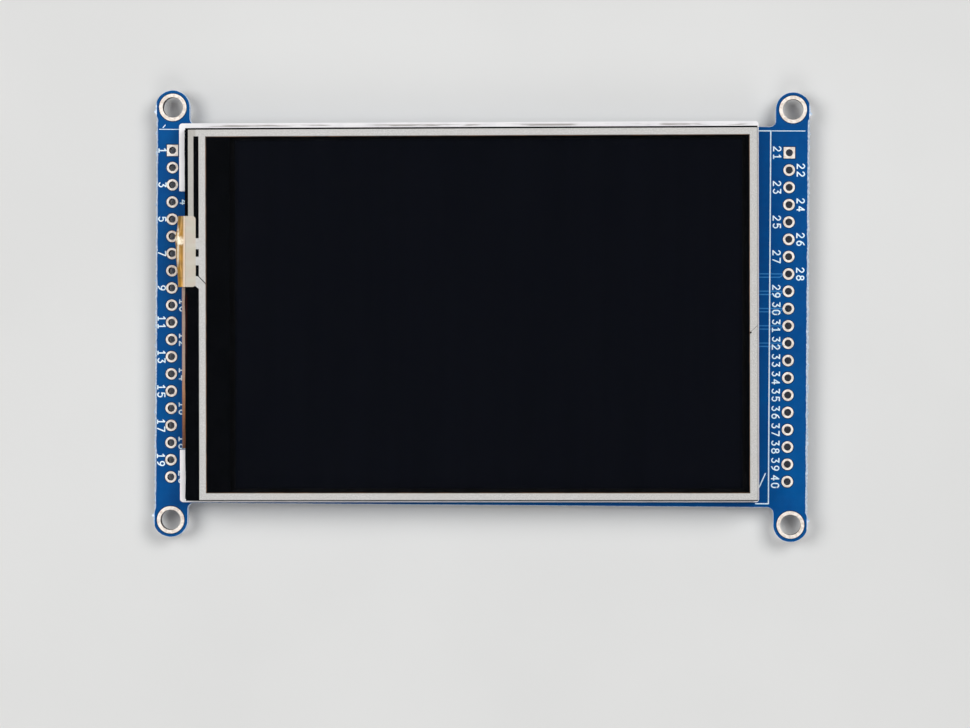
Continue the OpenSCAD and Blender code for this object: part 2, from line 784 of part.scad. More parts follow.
module flex_socket_latch() {
    len = zif_inner_w - 0.2;
    plate_z = zif_flex_z + flex_t + stiffener_t + 0.06;
    color("#1c1b1a") on_back(zif_c) {
        translate([latch_x, 0, latch_z]) rotate([90, 0, 0]) {
            cylinder(r = latch_r, h = len, center = true);
            cylinder(r = latch_pin_r, h = zif_inner_w + 1.6, center = true);
        }
        block(0.1, latch_x, -len / 2, len / 2, plate_z, latch_z + latch_r);
    }
}

module flex_socket_contacts() {
    beam = 0.2;
    color("#d9c38a") on_back(zif_c) contact_row()
        along_y(-contact_w / 2, contact_w / 2)
            polygon([[zif_d + contact_tail, 0], [zif_d + contact_tail, 0.16], [zif_d + 0.3, 0.2],
                [zif_d - 0.2, 0.36], [1.9, 0.36], [1.35, 0.82], [1.1, 0.87], [0.85, 0.82],
                [1.2, 0.36], [1.2, 0.36 - beam], [zif_d - 0.2, 0.36 - beam], [zif_d + 0.1, 0]]);
}

// Solder anchors at both ends of the socket
module flex_socket_anchors() {
    color("#cfd2d4") on_back(zif_c) for (s = [-1, 1]) {
        y0 = s > 0 ? zif_w / 2 : -zif_w / 2 - anchor_t;
        foot_y = s > 0 ? zif_w / 2 : -zif_w / 2 - 0.9;
        block(0.8, 2.6, y0, y0 + anchor_t, 0, 1.1);
        block(0.8, 2.6, foot_y, foot_y + 0.9, 0, 0.15);
    }
}

// ---------------------------------------------------------------- card socket

module card_contact_row() {
    for (i = [0:7]) translate([card_contact_x0 + i * card_contact_pitch, 0, 0]) children();
}

module card_socket_base() {
    inner_w = card_w - 2 * shell_t;
    front_stop = slider_y0 + slider_l + slider_play;
    color("#26262a") on_back(card_spot) difference() {
        union() {
            block(-inner_w / 2, inner_w / 2, -card_l, -0.3, 0, card_floor);
            block(-inner_w / 2, inner_w / 2, -card_l, -card_l + rear_wall, 0, card_inner_h);
            block(-inner_w / 2, card_space_x0, -card_l, -0.3, 0, card_inner_h);
            block(slider_x0, inner_w / 2, front_stop, -0.3, 0, slider_top);
        }
        card_contact_row() block(-card_contact_w / 2 - 0.05, card_contact_w / 2 + 0.05,
            -card_l - 1, -card_l + 6.2, -1, card_floor + 0.2);
        block(card_space_x0 + 2, card_space_x1 - 2, -card_l + 7.5, -2.2, -1, card_floor + 1);
        translate([slider_cx, cam_pivot_y, card_floor])
            cylinder(r = cam_wire_r + 0.04, h = card_h);
    }
}

module card_socket_shell() {
    h = card_h;
    color("#c9ccce") on_back(card_spot) {
        difference() {
            block(-card_w / 2, card_w / 2, -card_l, -0.05, 0, h);
            block(-card_w / 2 + shell_t, card_w / 2 - shell_t, -card_l - 1, 1, -1, h - shell_t);
            // windows with the pressed spring fingers
            for (x = [-3.6, 1.4]) difference() {
                block(x, x + 1.6, -card_l + 3, -card_l + 8.5, h - 1, h + 1);
                block(x + 0.35, x + 1.25, -card_l + 2, -card_l + 7.6, h - 2, h + 2);
            }
            block(-2.2, 0.8, -card_l + 9.8, -card_l + 11.2, h - 1, h + 1);
            // thumb recess at the mouth
            translate([(card_space_x0 + card_space_x1) / 2, 1.2, h - 1]) cylinder(r = 3.2, h = 2);
            // side windows that grip the base
            for (y = [-card_l + 4, -4.5]) block(-card_w, card_w, y, y + 1.4, 0.7, 1.2);
        }
        for (s = [-1, 1], y = [-card_l + 1.2, -2.2])
            translate([s * (card_w / 2 + 0.4), y, shell_t / 2])
                cube([0.8 + 2 * eps, 1.2, shell_t], center = true);
    }
}

module card_contacts() {
    t = 0.12;
    y = -card_l;
    color("#d8bf78") on_back(card_spot) card_contact_row()
        along_x(-card_contact_w / 2, card_contact_w / 2)
            polygon([[y - 0.7, 0], [y + 2.2, 0], [y + 4.9, 0.55], [y + 5.5, 0.72], [y + 5.9, 0.6],
                [y + 5.9, 0.6 + t], [y + 5.5, 0.72 + t], [y + 4.8, 0.55 + t], [y + 2.1, t],
                [y - 0.7, t]]);
}

module card_slider() {
    z0 = card_floor + slider_play;
    pocket_w = 2 * spring_r + 0.2;
    groove_x0 = slider_cx - cam_groove_w / 2;
    groove_l = slider_travel + 1.3;
    color("#e8e4d8") on_back(card_spot) difference() {
        union() {
            block(slider_x0 + slider_play, slider_x1, slider_y0, slider_y0 + slider_l, z0,
                slider_top);
            // toe that meets the corner of the card
            block(slider_x0 - 1.1, slider_x0 + slider_play + eps, slider_y0, slider_y0 + 0.9, z0 + 0.2,
                slider_top);
        }
        block(slider_cx - pocket_w / 2, slider_cx + pocket_w / 2, slider_y0 - 1,
            slider_y0 + spring_pocket, spring_z - pocket_w / 2, spring_z + pocket_w / 2);
        // loop-shaped groove around its island, for the follower
        difference() {
            block(groove_x0, groove_x0 + cam_groove_w, cam_groove_y, cam_groove_y + groove_l,
                slider_top - 0.3, slider_top + 1);
            block(groove_x0 + 0.42, groove_x0 + cam_groove_w - 0.12, cam_groove_y + 0.8,
                cam_groove_y + groove_l - 0.9, slider_top - 1, slider_top + 2);
        }
    }
}

// Points of a ring of the spring's wire, k sides, at angle a around the coil and height z
function coil_ring(a, z, sides) = [for (s = [0:sides - 1])
    let (b = 360 * s / sides, r = spring_r - spring_wire / 2 + spring_wire / 2 * cos(b))
    [r * cos(a), r * sin(a), z + spring_wire / 2 * sin(b)]];

module coil_spring(length, turns) {
    sides = 5;
    steps = 9 * turns;
    rise = length - spring_wire;
    points = [for (i = [0:steps]) each coil_ring(360 * turns * i / steps,
        spring_wire / 2 + rise * i / steps, sides)];
    sides_faces = [for (i = [0:steps - 1], s = [0:sides - 1])
        let (a = i * sides + s, b = i * sides + (s + 1) % sides)
        each [[a, a + sides, b + sides], [a, b + sides, b]]];
    start_face = [for (s = [0:sides - 1]) s];
    end_face = [for (s = [sides - 1:-1:0]) steps * sides + s];
    polyhedron(points, concat(sides_faces, [start_face, end_face]));
}

module card_spring() {
    seat = -card_l + rear_wall;
    color("#b9bcc0") on_back(card_spot) translate([slider_cx, seat + 0.02, spring_z])
        rotate([-90, 0, 0]) coil_spring(slider_y0 + spring_pocket - seat - 0.04, spring_turns);
}

// Bent wire: one end turns in the base, the other follows the groove of the slider
module card_cam_wire() {
    follower_x = slider_cx - cam_groove_w / 2 + 0.2;
    follower_y = cam_groove_y + 0.25;
    run = [slider_cx - follower_x, cam_pivot_y - follower_y];
    color("#d5d7d9") on_back(card_spot) {
        translate([follower_x, follower_y, cam_z]) {
            rotate([0, 0, -atan2(run[0], run[1])]) rotate([-90, 0, 0])
                cylinder(r = cam_wire_r, h = norm(run));
            sphere(cam_wire_r);
            translate([0, 0, -cam_wire_r - 0.28]) cylinder(r = cam_wire_r, h = 0.28 + cam_wire_r);
        }
        translate([slider_cx, cam_pivot_y, card_floor + 0.15])
            cylinder(r = cam_wire_r, h = cam_z - card_floor - 0.15);
        translate([slider_cx, cam_pivot_y, cam_z]) sphere(cam_wire_r);
    }
}

// Two leaves that meet when a card is in
module card_switch() {
    y = -card_l;
    x0 = card_space_x0 + 0.25;
    color("#d8bf78") on_back(card_spot) {
        block(x0, x0 + 0.12, y + rear_wall + 0.02, y + 4.2, card_floor + 0.02, 1.2);
        block(x0 + 0.3, x0 + 0.42, y + rear_wall + 0.02, y + 3.4, card_floor + 0.02, 1.1);
    }
}

// ---------------------------------------------------------------- chips

// Bent lead: shoulder at the body, foot on the board, along +X from x0
module gull_lead(x0, reach, shoulder_z, width) {
    along_y(-width / 2, width / 2)
        polygon([[x0, shoulder_z], [x0 + 0.32 * reach - lead_t, shoulder_z],
            [x0 + 0.45 * reach - lead_t, 0], [x0 + reach, 0], [x0 + reach, lead_t],
            [x0 + 0.45 * reach, lead_t], [x0 + 0.32 * reach, shoulder_z + lead_t],
            [x0, shoulder_z + lead_t]]);
}

// Moulded body: two bevelled halves that meet at the leads
module chip_body(l, w, z0, h) {
    bevel = 0.08;
    mid = z0 + 0.5 * h;
    along_x(-l / 2, l / 2)
        polygon([[-w / 2 + bevel, z0], [w / 2 - bevel, z0], [w / 2, mid], [w / 2 - bevel, z0 + h],
            [-w / 2 + bevel, z0 + h], [-w / 2, mid]]);
}

module logic_chip_bodies() {
    color("#242528") for (s = chip_spots) on_back(s) difference() {
        chip_body(logic_l, logic_w, 0.1, 0.95);
        translate([-logic_l / 2 + 0.8, -logic_w / 2 + 0.9, 0.95]) cylinder(r = 0.35, h = 1);
    }
}

module logic_chip_leads() {
    color("#c9cbcc") for (s = chip_spots) on_back(s)
        for (side = [0, 180], i = [0:logic_pins - 1])
            rotate([0, 0, side]) translate([(i - (logic_pins - 1) / 2) * 0.65, 0, 0])
                rotate([0, 0, 90]) gull_lead(logic_w / 2, 1.0, 0.5, 0.24);
}

module regulator_body() {
    color("#242528") on_back(regulator_spot) chip_body(6.5, 3.5, 0.06, 1.6);
}

module regulator_leads() {
    color("#c9cbcc") on_back(regulator_spot) {
        for (i = [-1:1]) translate([i * 2.3, 0, 0])
            rotate([0, 0, -90]) gull_lead(3.5 / 2, 1.7, 0.8, 0.7);
        rotate([0, 0, 90]) gull_lead(3.5 / 2, 1.7, 0.8, 3.0);
    }
}

// Five-lead driver of the backlight and two three-lead switches
module small_chip_bodies() {
    color("#242528") {
        on_back(boost_spot) chip_body(2.9, 1.6, 0.08, 1.05);
        for (s = small_spots) on_back(s) chip_body(2.9, 1.3, 0.05, 0.95);
    }
}

module small_chip_leads() {
    color("#c9cbcc") {
        on_back(boost_spot) {
            for (i = [-1:1]) translate([i * 0.95, 0, 0])
                rotate([0, 0, -90]) gull_lead(0.8, 0.6, 0.5, 0.4);
            for (i = [-1, 1]) translate([i * 0.95, 0, 0])
                rotate([0, 0, 90]) gull_lead(0.8, 0.6, 0.5, 0.4);
        }
        for (s = small_spots) on_back(s) {
            for (i = [-1, 1]) translate([i * 0.95, 0, 0])
                rotate([0, 0, -90]) gull_lead(0.65, 0.55, 0.45, 0.4);
            rotate([0, 0, 90]) gull_lead(0.65, 0.55, 0.45, 0.4);
        }
    }
}

// ---------------------------------------------------------------- inductor, diode, capacitors

module coil_core() {
    color("#4a4b50") on_back(coil_spot) {
        translate([0, 0, coil_foot]) linear_extrude(coil_flange) rounded(coil_w, coil_w, 0.6);
        translate([0, 0, coil_foot]) cylinder(r = coil_post_r, h = coil_h - coil_foot);
        translate([0, 0, coil_h - coil_flange]) cylinder(r = coil_flange_r, h = coil_flange);
    }
}

module coil_winding() {
    z0 = coil_foot + coil_flange;
    color("#b5673a") on_back(coil_spot) translate([0, 0, z0]) difference() {
        cylinder(r = coil_flange_r - 0.1, h = coil_h - coil_flange - z0);
        translate([0, 0, -1]) cylinder(r = coil_post_r, h = coil_h + 2);
    }
}

module coil_shield() {
    z0 = coil_foot + coil_flange;
    color("#55565b") on_back(coil_spot) translate([0, 0, z0]) difference() {
        linear_extrude(coil_h - 0.1 - z0) rounded(coil_w, coil_w, 0.6);
        translate([0, 0, -1]) cylinder(r = coil_flange_r + 0.08, h = coil_h + 2);
    }
}

module coil_terminals() {
    color("#cfd2d4") on_back(coil_spot) for (s = [-1, 1])
        translate([s * (coil_w / 2 - 0.6), 0, coil_foot / 2])
            cube([1.1, coil_w - 1.2, coil_foot], center = true);
}

module diode_body() {
    color("#2b2b2d") on_back(diode_spot) chip_body(2.8, 1.8, 0.06, 1.1);
}

module diode_leads() {
    color("#c9cbcc") on_back(diode_spot) for (side = [0, 180])
        rotate([0, 0, side]) gull_lead(1.4, 0.6, 0.5, 0.9);
}

module tantalum_bodies() {
    color("#d9a13c") for (s = tantalum_spots) on_back(s)
        chip_body(tantalum_l, tantalum_w, lead_t, tantalum_h - lead_t);
}

module tantalum_leads() {
    color("#c9cbcc") for (s = tantalum_spots) on_back(s) for (side = [0, 180])
        rotate([0, 0, side]) {
            block(tantalum_l / 2 - 0.8, tantalum_l / 2 + lead_t, -1.1, 1.1, 0, lead_t);
            block(tantalum_l / 2, tantalum_l / 2 + lead_t, -1.1, 1.1, 0, 0.9);
        }
}

// A two-ended chip part: the body between its ends, and the two metal ends
module two_end_body(size) {
    x = size[0] / 2 - size[3];
    block(-x, x, -size[1] / 2, size[1] / 2, 0.03, size[2]);
}

module two_ends(size) {
    h = size[2] + 0.03;
    for (s = [-1, 1]) translate([s * (size[0] - size[3]) / 2, 0, h / 2])
        cube([size[3], size[1] + 0.06, h], center = true);
}

module ceramic_capacitor_bodies() {
    color("#b99368") for (s = capacitor_spots) on_back(s) two_end_body(capacitor_size);
}

module ceramic_capacitor_ends() {
    color("#cfd2d4") for (s = capacitor_spots) on_back(s) two_ends(capacitor_size);
}

module resistor_bodies() {
    color("#17181a") for (s = resistor_spots) on_back(s) two_end_body(resistor_size);
}

module resistor_ends() {
    color("#cfd2d4") for (s = resistor_spots) on_back(s) two_ends(resistor_size);
}

board();
mount_hole_plating();
header_pads_left();
header_pads_right();
jumper_pads();
foam_tape();
panel_frame();
reflector_film();
light_guide();
diffuser_sheet();
prism_film_lower();
prism_film_upper();
rim_tape();
led_flex();
backlight_leds();
rear_polariser();
tft_glass();
colour_filter_glass();
front_polariser();
driver_chip();
display_flex();
flex_stiffener();
touch_gasket();
touch_glass();
touch_spacer();
silver_bands();
touch_film();
touch_flex();
flex_socket_housing();
flex_socket_latch();
flex_socket_contacts();
flex_socket_anchors();
card_socket_base();
card_socket_shell();
card_contacts();
card_slider();
card_spring();
card_cam_wire();
card_switch();
logic_chip_bodies();
logic_chip_leads();
regulator_body();
regulator_leads();
small_chip_bodies();
small_chip_leads();
coil_core();
coil_winding();
coil_shield();
coil_terminals();
diode_body();
diode_leads();
tantalum_bodies();
tantalum_leads();
ceramic_capacitor_bodies();
ceramic_capacitor_ends();
resistor_bodies();
resistor_ends();
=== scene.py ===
"""Looks of the colour display module, in metres, on the frame of its solids.

Each sub-assembly is a class that holds its sizes and builds or dresses its pieces. Each finish is
a frozen dataclass that builds one node material on Object coordinates. Sizes inside the classes
are millimetres and are turned into metres where a mesh is made.
"""
import logging
import math
import random
from dataclasses import dataclass, field
from enum import Enum
from typing import Any, Callable, Optional, Sequence

import bmesh
import bpy
from mathutils import Matrix, Vector, noise


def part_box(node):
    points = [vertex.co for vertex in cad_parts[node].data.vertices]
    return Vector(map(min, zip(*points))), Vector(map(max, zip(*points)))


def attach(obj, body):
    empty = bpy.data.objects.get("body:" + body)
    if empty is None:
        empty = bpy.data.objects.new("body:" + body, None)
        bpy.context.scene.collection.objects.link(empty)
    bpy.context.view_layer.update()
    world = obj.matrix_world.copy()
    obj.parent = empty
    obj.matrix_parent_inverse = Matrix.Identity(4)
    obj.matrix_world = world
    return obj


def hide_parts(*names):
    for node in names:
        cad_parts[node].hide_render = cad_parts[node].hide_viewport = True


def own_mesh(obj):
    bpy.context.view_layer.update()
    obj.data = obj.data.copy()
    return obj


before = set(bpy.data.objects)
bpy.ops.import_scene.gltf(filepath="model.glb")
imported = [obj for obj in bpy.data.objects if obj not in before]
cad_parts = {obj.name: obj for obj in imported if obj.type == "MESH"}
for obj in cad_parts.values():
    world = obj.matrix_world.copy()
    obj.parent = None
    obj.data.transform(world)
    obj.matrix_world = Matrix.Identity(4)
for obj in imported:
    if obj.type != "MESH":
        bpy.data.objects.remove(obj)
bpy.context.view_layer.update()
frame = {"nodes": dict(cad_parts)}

LOG = logging.getLogger("display_module")
MM = 0.001
WELD = 0.0005 * MM
Point = tuple[float, float]
Colour = tuple[float, float, float, float]


def tint(code: str) -> Colour:
    """Turns a six-digit sRGB code into a linear colour.

    Args:
        code: Six hexadecimal digits.

    Returns:
        Linear red, green, blue and an alpha of 1.
    """
    parts = [int(code[i:i + 2], 16) / 255 for i in (0, 2, 4)]
    r, g, b = (c / 12.92 if c <= 0.04045 else ((c + 0.055) / 1.055) ** 2.4 for c in parts)
    return (r, g, b, 1.0)


class Face(Enum):
    """The two faces of the carrier board: the sign is that of the face's outward direction."""

    FRONT = 1
    BACK = -1


# ---------------------------------------------------------------- shader expressions


def operator(operation: str, swapped: bool = False) -> Callable[["Shade", Any], "Shade"]:
    """Makes a method that adds one Math node of two inputs.

    Args:
        operation: The node's operation.
        swapped: True for a reflected form, whose own value comes second.

    Returns:
        The method.
    """
    def method(self: "Shade", other: Any) -> "Shade":
        """Adds the node."""
        return self.math(operation, *((other, self) if swapped else (self, other)))
    return method


class Shade:
    """An output socket of a material's tree; arithmetic on it adds Math nodes.

    fold gives the distance to the nearest even multiple of a pitch, and most the larger value.
    """

    __add__ = __radd__ = operator("ADD")
    __sub__, __rsub__ = operator("SUBTRACT"), operator("SUBTRACT", True)
    __mul__ = __rmul__ = operator("MULTIPLY")
    __truediv__, __rtruediv__ = operator("DIVIDE"), operator("DIVIDE", True)
    __pow__, fold, most = operator("POWER"), operator("PINGPONG"), operator("MAXIMUM")

    def __init__(self, sheet: "Sheet", socket: bpy.types.NodeSocket) -> None:
        """Keeps the sheet and the socket."""
        self.sheet = sheet
        self.socket = socket

    def math(self, operation: str, *values: Any) -> "Shade":
        """Adds one Math node.

        Args:
            operation: The node's operation.
            values: The values or sockets of its inputs, in order.

        Returns:
            The node's result.
        """
        inputs = dict(enumerate(values))
        return self.sheet.node("ShaderNodeMath", {"operation": operation}, inputs)

    def __abs__(self) -> "Shade":
        """Size without sign."""
        return self.math("ABSOLUTE", self)

    def span(self, low: float, high: float, start: float = 0.0, end: float = 1.0) -> "Shade":
        """Eases from one value to another while this value goes from low to high.

        Args:
            low: The value at which the result is start.
            high: The value at which the result is end.
            start: The result at low.
            end: The result at high.

        Returns:
            The eased result.
        """
        if high < low:
            low, high, start, end = high, low, end, start
        settings = {"interpolation_type": "SMOOTHSTEP"}
        return self.sheet.node("ShaderNodeMapRange", settings,
                               {0: self, 1: low, 2: high, 3: start, 4: end})


class Sheet:
    """The node tree of one material."""

    def __init__(self, name: str) -> None:
        """Starts an empty tree.

        Args:
            name: Name of the material.
        """
        self.material = bpy.data.materials.new(name)
        self.material.use_nodes = True
        self.tree = self.material.node_tree
        self.tree.nodes.clear()
        spot = self.node("ShaderNodeTexCoord", output="Object")
        self.place = self.node("ShaderNodeVectorMath", {"operation": "SCALE"},
                               {0: spot, "Scale": 1 / MM})
        split = [self.node("ShaderNodeSeparateXYZ", {}, {0: self.place}, axis) for axis in range(3)]
        self.x, self.y, self.z = split

    def node(self, kind: str, settings: Optional[dict[str, Any]] = None,
             inputs: Optional[dict[Any, Any]] = None, output: Any = 0) -> Shade:
        """Adds a node of any type.

        Args:
            kind: The node's type.
            settings: Its properties, and under "stops" a ramp's places and colours.
            inputs: Values or links of its sockets, by name or number.
            output: The name or number of the socket that is returned.

        Returns:
            The chosen output.
        """
        made = self.tree.nodes.new(kind)
        for key, value in (settings or {}).items():
            if key == "stops":
                elements = made.color_ramp.elements
                while len(elements) < len(value):
                    elements.new(1.0)
                for element, (at, colour) in zip(elements, value):
                    element.position, element.color = at, colour
            else:
                setattr(made, key, value)
        for key, value in (inputs or {}).items():
            if isinstance(value, Shade):
                self.tree.links.new(value.socket, made.inputs[key])
            else:
                made.inputs[key].default_value = value
        return Shade(self, made.outputs[output])

    def noise(self, size: float, detail: float = 2.0, stretch: Sequence[float] = (1, 1, 1)) -> Shade:
        """Cloudy noise.

        Args:
            size: Size of its features, in millimetres.
            detail: How many finer layers it has.
            stretch: How many times longer its features are along each axis.

        Returns:
            A value about 0.5.
        """
        scale = [1 / (size * s) for s in stretch]
        spot = self.node("ShaderNodeVectorMath", {"operation": "MULTIPLY"}, {0: self.place, 1: scale})
        return self.node("ShaderNodeTexNoise", {}, {"Vector": spot, "Scale": 1.0, "Detail": detail})

    def cells(self, size: float, randomness: float = 1.0) -> Shade:
        """Distance to the nearest point of a scattered or regular set, in units of their spacing."""
        return self.node("ShaderNodeTexVoronoi", {}, {
            "Vector": self.place, "Scale": 1 / size, "Randomness": randomness}, "Distance")

    def blend(self, share: Any, first: Any, second: Any) -> Shade:
        """Mixes two colours, links or sRGB codes: share 0 gives the first and 1 the second."""
        first, second = (tint(c) if isinstance(c, str) else c for c in (first, second))
        return self.node("ShaderNodeMix", {"data_type": "RGBA"}, {0: share, 6: first, 7: second}, 2)

    def level(self) -> Shade:
        """1 where the surface lies level and 0 where it stands upright."""
        turned = self.node("ShaderNodeTexCoord", {}, {}, "Normal")
        return abs(self.node("ShaderNodeSeparateXYZ", {}, {0: turned}, 2))

    def ramp(self, value: Shade, stops: Sequence[tuple[float, Colour]]) -> Shade:
        """Colours along a value that goes from 0 to 1."""
        return self.node("ShaderNodeValToRGB", {"stops": stops}, {0: value})

    def relief(self, height: Shade, depth: float) -> Shade:
        """Turns a height into a normal; depth is in millimetres."""
        return self.node("ShaderNodeBump", {}, {"Strength": 1.0, "Distance": depth * MM,
                                                "Height": height})

    def principled(self, sockets: dict[str, Any]) -> Shade:
        """The main shader with its sockets."""
        return self.node("ShaderNodeBsdfPrincipled", {}, sockets)

    def close(self, shader: Shade) -> bpy.types.Material:
        """Joins a shader to the output and gives the material back.

        Args:
            shader: The whole shader.

        Returns:
            The finished material.
        """
        out = self.tree.nodes.new("ShaderNodeOutputMaterial")
        self.tree.links.new(shader.socket, out.inputs["Surface"])
        return self.material


# ---------------------------------------------------------------- finishes

_MADE: dict["Finish", bpy.types.Material] = {}


@dataclass(frozen=True)
class Finish:
    """A mottled and grained surface, which the other finishes refine.

    Attributes:
        name: Name of the material.
        colour: Its main tone.
        shade: The tone of its patches.
        patch: Size of the patches, in millimetres.
        rough: Roughness between patches and on them.
        grain: Size of the grain, in millimetres.
        depth: Depth of the grain, in millimetres.
        metal: How metallic it is.
        gloss: Specular level.
        stretch: How far patches and grain are drawn out along each axis.
    """

    name: str
    colour: str
    shade: str
    patch: float = 2.0
    rough: tuple[float, float] = (0.45, 0.6)
    grain: float = 0.12
    depth: float = 0.003
    metal: float = 0.0
    gloss: float = 0.5
    stretch: tuple[float, float, float] = (1, 1, 1)

    def patches(self, sheet: Sheet) -> Shade:
        """Where the second tone shows, from 0 to 1."""
        return sheet.noise(self.patch, 4.0, self.stretch).span(0.38, 0.66)

    def tone(self, sheet: Sheet) -> Shade:
        """The colour over the surface."""
        return sheet.blend(self.patches(sheet), self.colour, self.shade)

    def height(self, sheet: Sheet) -> Shade:
        """The relief over the surface, about 0 to 1."""
        return sheet.noise(self.grain, 3.0, self.stretch)

    def roughness(self, sheet: Sheet) -> Shade:
        """The roughness over the surface."""
        mottle = sheet.noise(self.patch * 0.6, 3.0, self.stretch)
        return mottle.span(0.35, 0.65, *self.rough)

    def shader(self, sheet: Sheet) -> Shade:
        """The whole shader.

        Args:
            sheet: The material's tree.

        Returns:
            Its output.
        """
        return sheet.principled({
            "Base Color": self.tone(sheet), "Roughness": self.roughness(sheet),
            "Metallic": self.metal, "Specular IOR Level": self.gloss,
            "Normal": sheet.relief(self.height(sheet), self.depth)})

    def material(self) -> bpy.types.Material:
        """The material, built once.

        Returns:
            The same material each time.
        """
        if self not in _MADE:
            sheet = Sheet(self.name)
            _MADE[self] = sheet.close(self.shader(sheet))
        return _MADE[self]


@dataclass(frozen=True)
class MaskCoat(Finish):
    """Solder mask over copper and laminate: the weave shows faintly through it.

    Attributes:
        weave: Pitch of the glass weave under the mask, in millimetres.
    """

    weave: float = 0.55

    def tone(self, sheet: Sheet) -> Shade:
        """Broad patches, a faint weave and fine specks.

        Args:
            sheet: The material's tree.

        Returns:
            The colour over the surface.
        """
        broad = sheet.noise(9.0, 3.0).span(0.35, 0.68) * 0.75 + self.patches(sheet) * 0.25
        base = sheet.blend(broad, self.colour, self.shade)
        weave = (sheet.x.fold(self.weave) + sheet.y.fold(self.weave)) / (2 * self.weave)
        specks = sheet.noise(0.09, 2.0).span(0.60, 0.72)
        base = sheet.blend(weave * 0.10, base, "03305f")
        return sheet.blend(specks * 0.16, base, "2f8fd0")

    def height(self, sheet: Sheet) -> Shade:
        """Soft waves of the mask with fine grain."""
        return sheet.noise(1.4, 2.0) * 1.4 + sheet.noise(self.grain, 2.0) * 0.35


@dataclass(frozen=True)
class Laminate(Finish):
    """Cut glass-fibre laminate: pale, with bundles of fibres and crumbs of resin."""

    def tone(self, sheet: Sheet) -> Shade:
        """Pale fibres between darker resin.

        Args:
            sheet: The material's tree.

        Returns:
            The colour over the surface.
        """
        layers = sheet.noise(0.16, 3.0, (3, 3, 1)).span(0.36, 0.62)
        crumbs = sheet.noise(0.28, 4.0).span(0.55, 0.70)
        base = sheet.blend(layers, self.shade, self.colour)
        return sheet.blend(crumbs * 0.7, base, "f4f8ff")

    def height(self, sheet: Sheet) -> Shade:
        """Torn fibres."""
        return sheet.noise(0.1, 4.0, (1, 1, 0.6)) + sheet.cells(0.22) * 0.5


@dataclass(frozen=True)
class PlatedHole(Finish):
    """Bright pads round holes whose walls are painted dark: tarnish and flux, and painted shade inside
    the holes.

    Attributes:
        wall: Tone of the walls, tarnish and painted shade.
    """

    wall: str = "2c1a12"

    def tone(self, sheet: Sheet) -> Shade:
        """Pads where the surface lies level, dark walls with painted shade where it stands upright."""
        upright = sheet.level().span(0.5, 0.2)
        return sheet.blend(upright, super().tone(sheet), self.wall)


@dataclass(frozen=True)
class SilverInk(Finish):
    """Screen-printed silver: satin, with the mesh of the screen and fine grains.

    Attributes:
        trace_x: Left of this the ink is the thin, greyer trace beside the ring.
    """

    trace_x: float = -41.7

    def tone(self, sheet: Sheet) -> Shade:
        """Grains of silver in a greyer ink.

        Args:
            sheet: The material's tree.

        Returns:
            The colour over the surface.
        """
        grains = sheet.noise(0.16, 4.0).span(0.34, 0.68)
        drift = sheet.noise(6.0, 2.0).span(0.3, 0.7)
        base = sheet.blend(grains, self.shade, self.colour)
        base = sheet.blend(drift * 0.35, base, "c4c0ba")
        outer = 1 - sheet.x.span(self.trace_x - 0.2, self.trace_x)
        return sheet.blend(outer * 0.55, base, "a29d94")

    def height(self, sheet: Sheet) -> Shade:
        """The mesh of the screen and the grains."""
        mesh = sheet.x.fold(0.08) + sheet.y.fold(0.08)
        return mesh * 3.0 + sheet.noise(0.14, 3.0)


@dataclass(frozen=True)
class FlexFilm(Finish):
    """Polyimide flex: copper lines show under the film.

    Attributes:
        pitch: Pitch of the lines, in millimetres.
        line: Share of the pitch that is copper.
        copper: Tone over the copper.
        stops: Further tones along Y, from low to high, or none.
        reach: The two ends of those tones, in millimetres.
    """

    pitch: float = 0.5
    line: float = 0.55
    copper: str = "b9743f"
    stops: tuple[tuple[float, str], ...] = ()
    reach: Point = (0.0, 1.0)

    def lines(self, sheet: Sheet) -> Shade:
        """1 over the copper lines and 0 between them.

        Args:
            sheet: The material's tree.

        Returns:
            The mask of the lines.
        """
        half = self.pitch / 2
        wobble = sheet.noise(2.0, 1.0) * 0.06
        return (sheet.y + wobble).fold(half).span(half * (1 - self.line) - 0.02,
                                                 half * (1 - self.line) + 0.02)

    def tone(self, sheet: Sheet) -> Shade:
        """Film, copper under it, and the drift along the flex.

        Args:
            sheet: The material's tree.

        Returns:
            The colour over the surface.
        """
        film = sheet.blend(self.patches(sheet), self.colour, self.shade)
        base = sheet.blend(self.lines(sheet) * 0.65, film, self.copper)
        if self.stops:
            along = sheet.ramp(sheet.y.span(*self.reach), [(a, tint(c)) for a, c in self.stops])
            base = sheet.blend(0.72, base, along)
        return base

    def height(self, sheet: Sheet) -> Shade:
        """The lines stand out a little."""
        return self.lines(sheet) + sheet.noise(0.4, 2.0) * 0.6


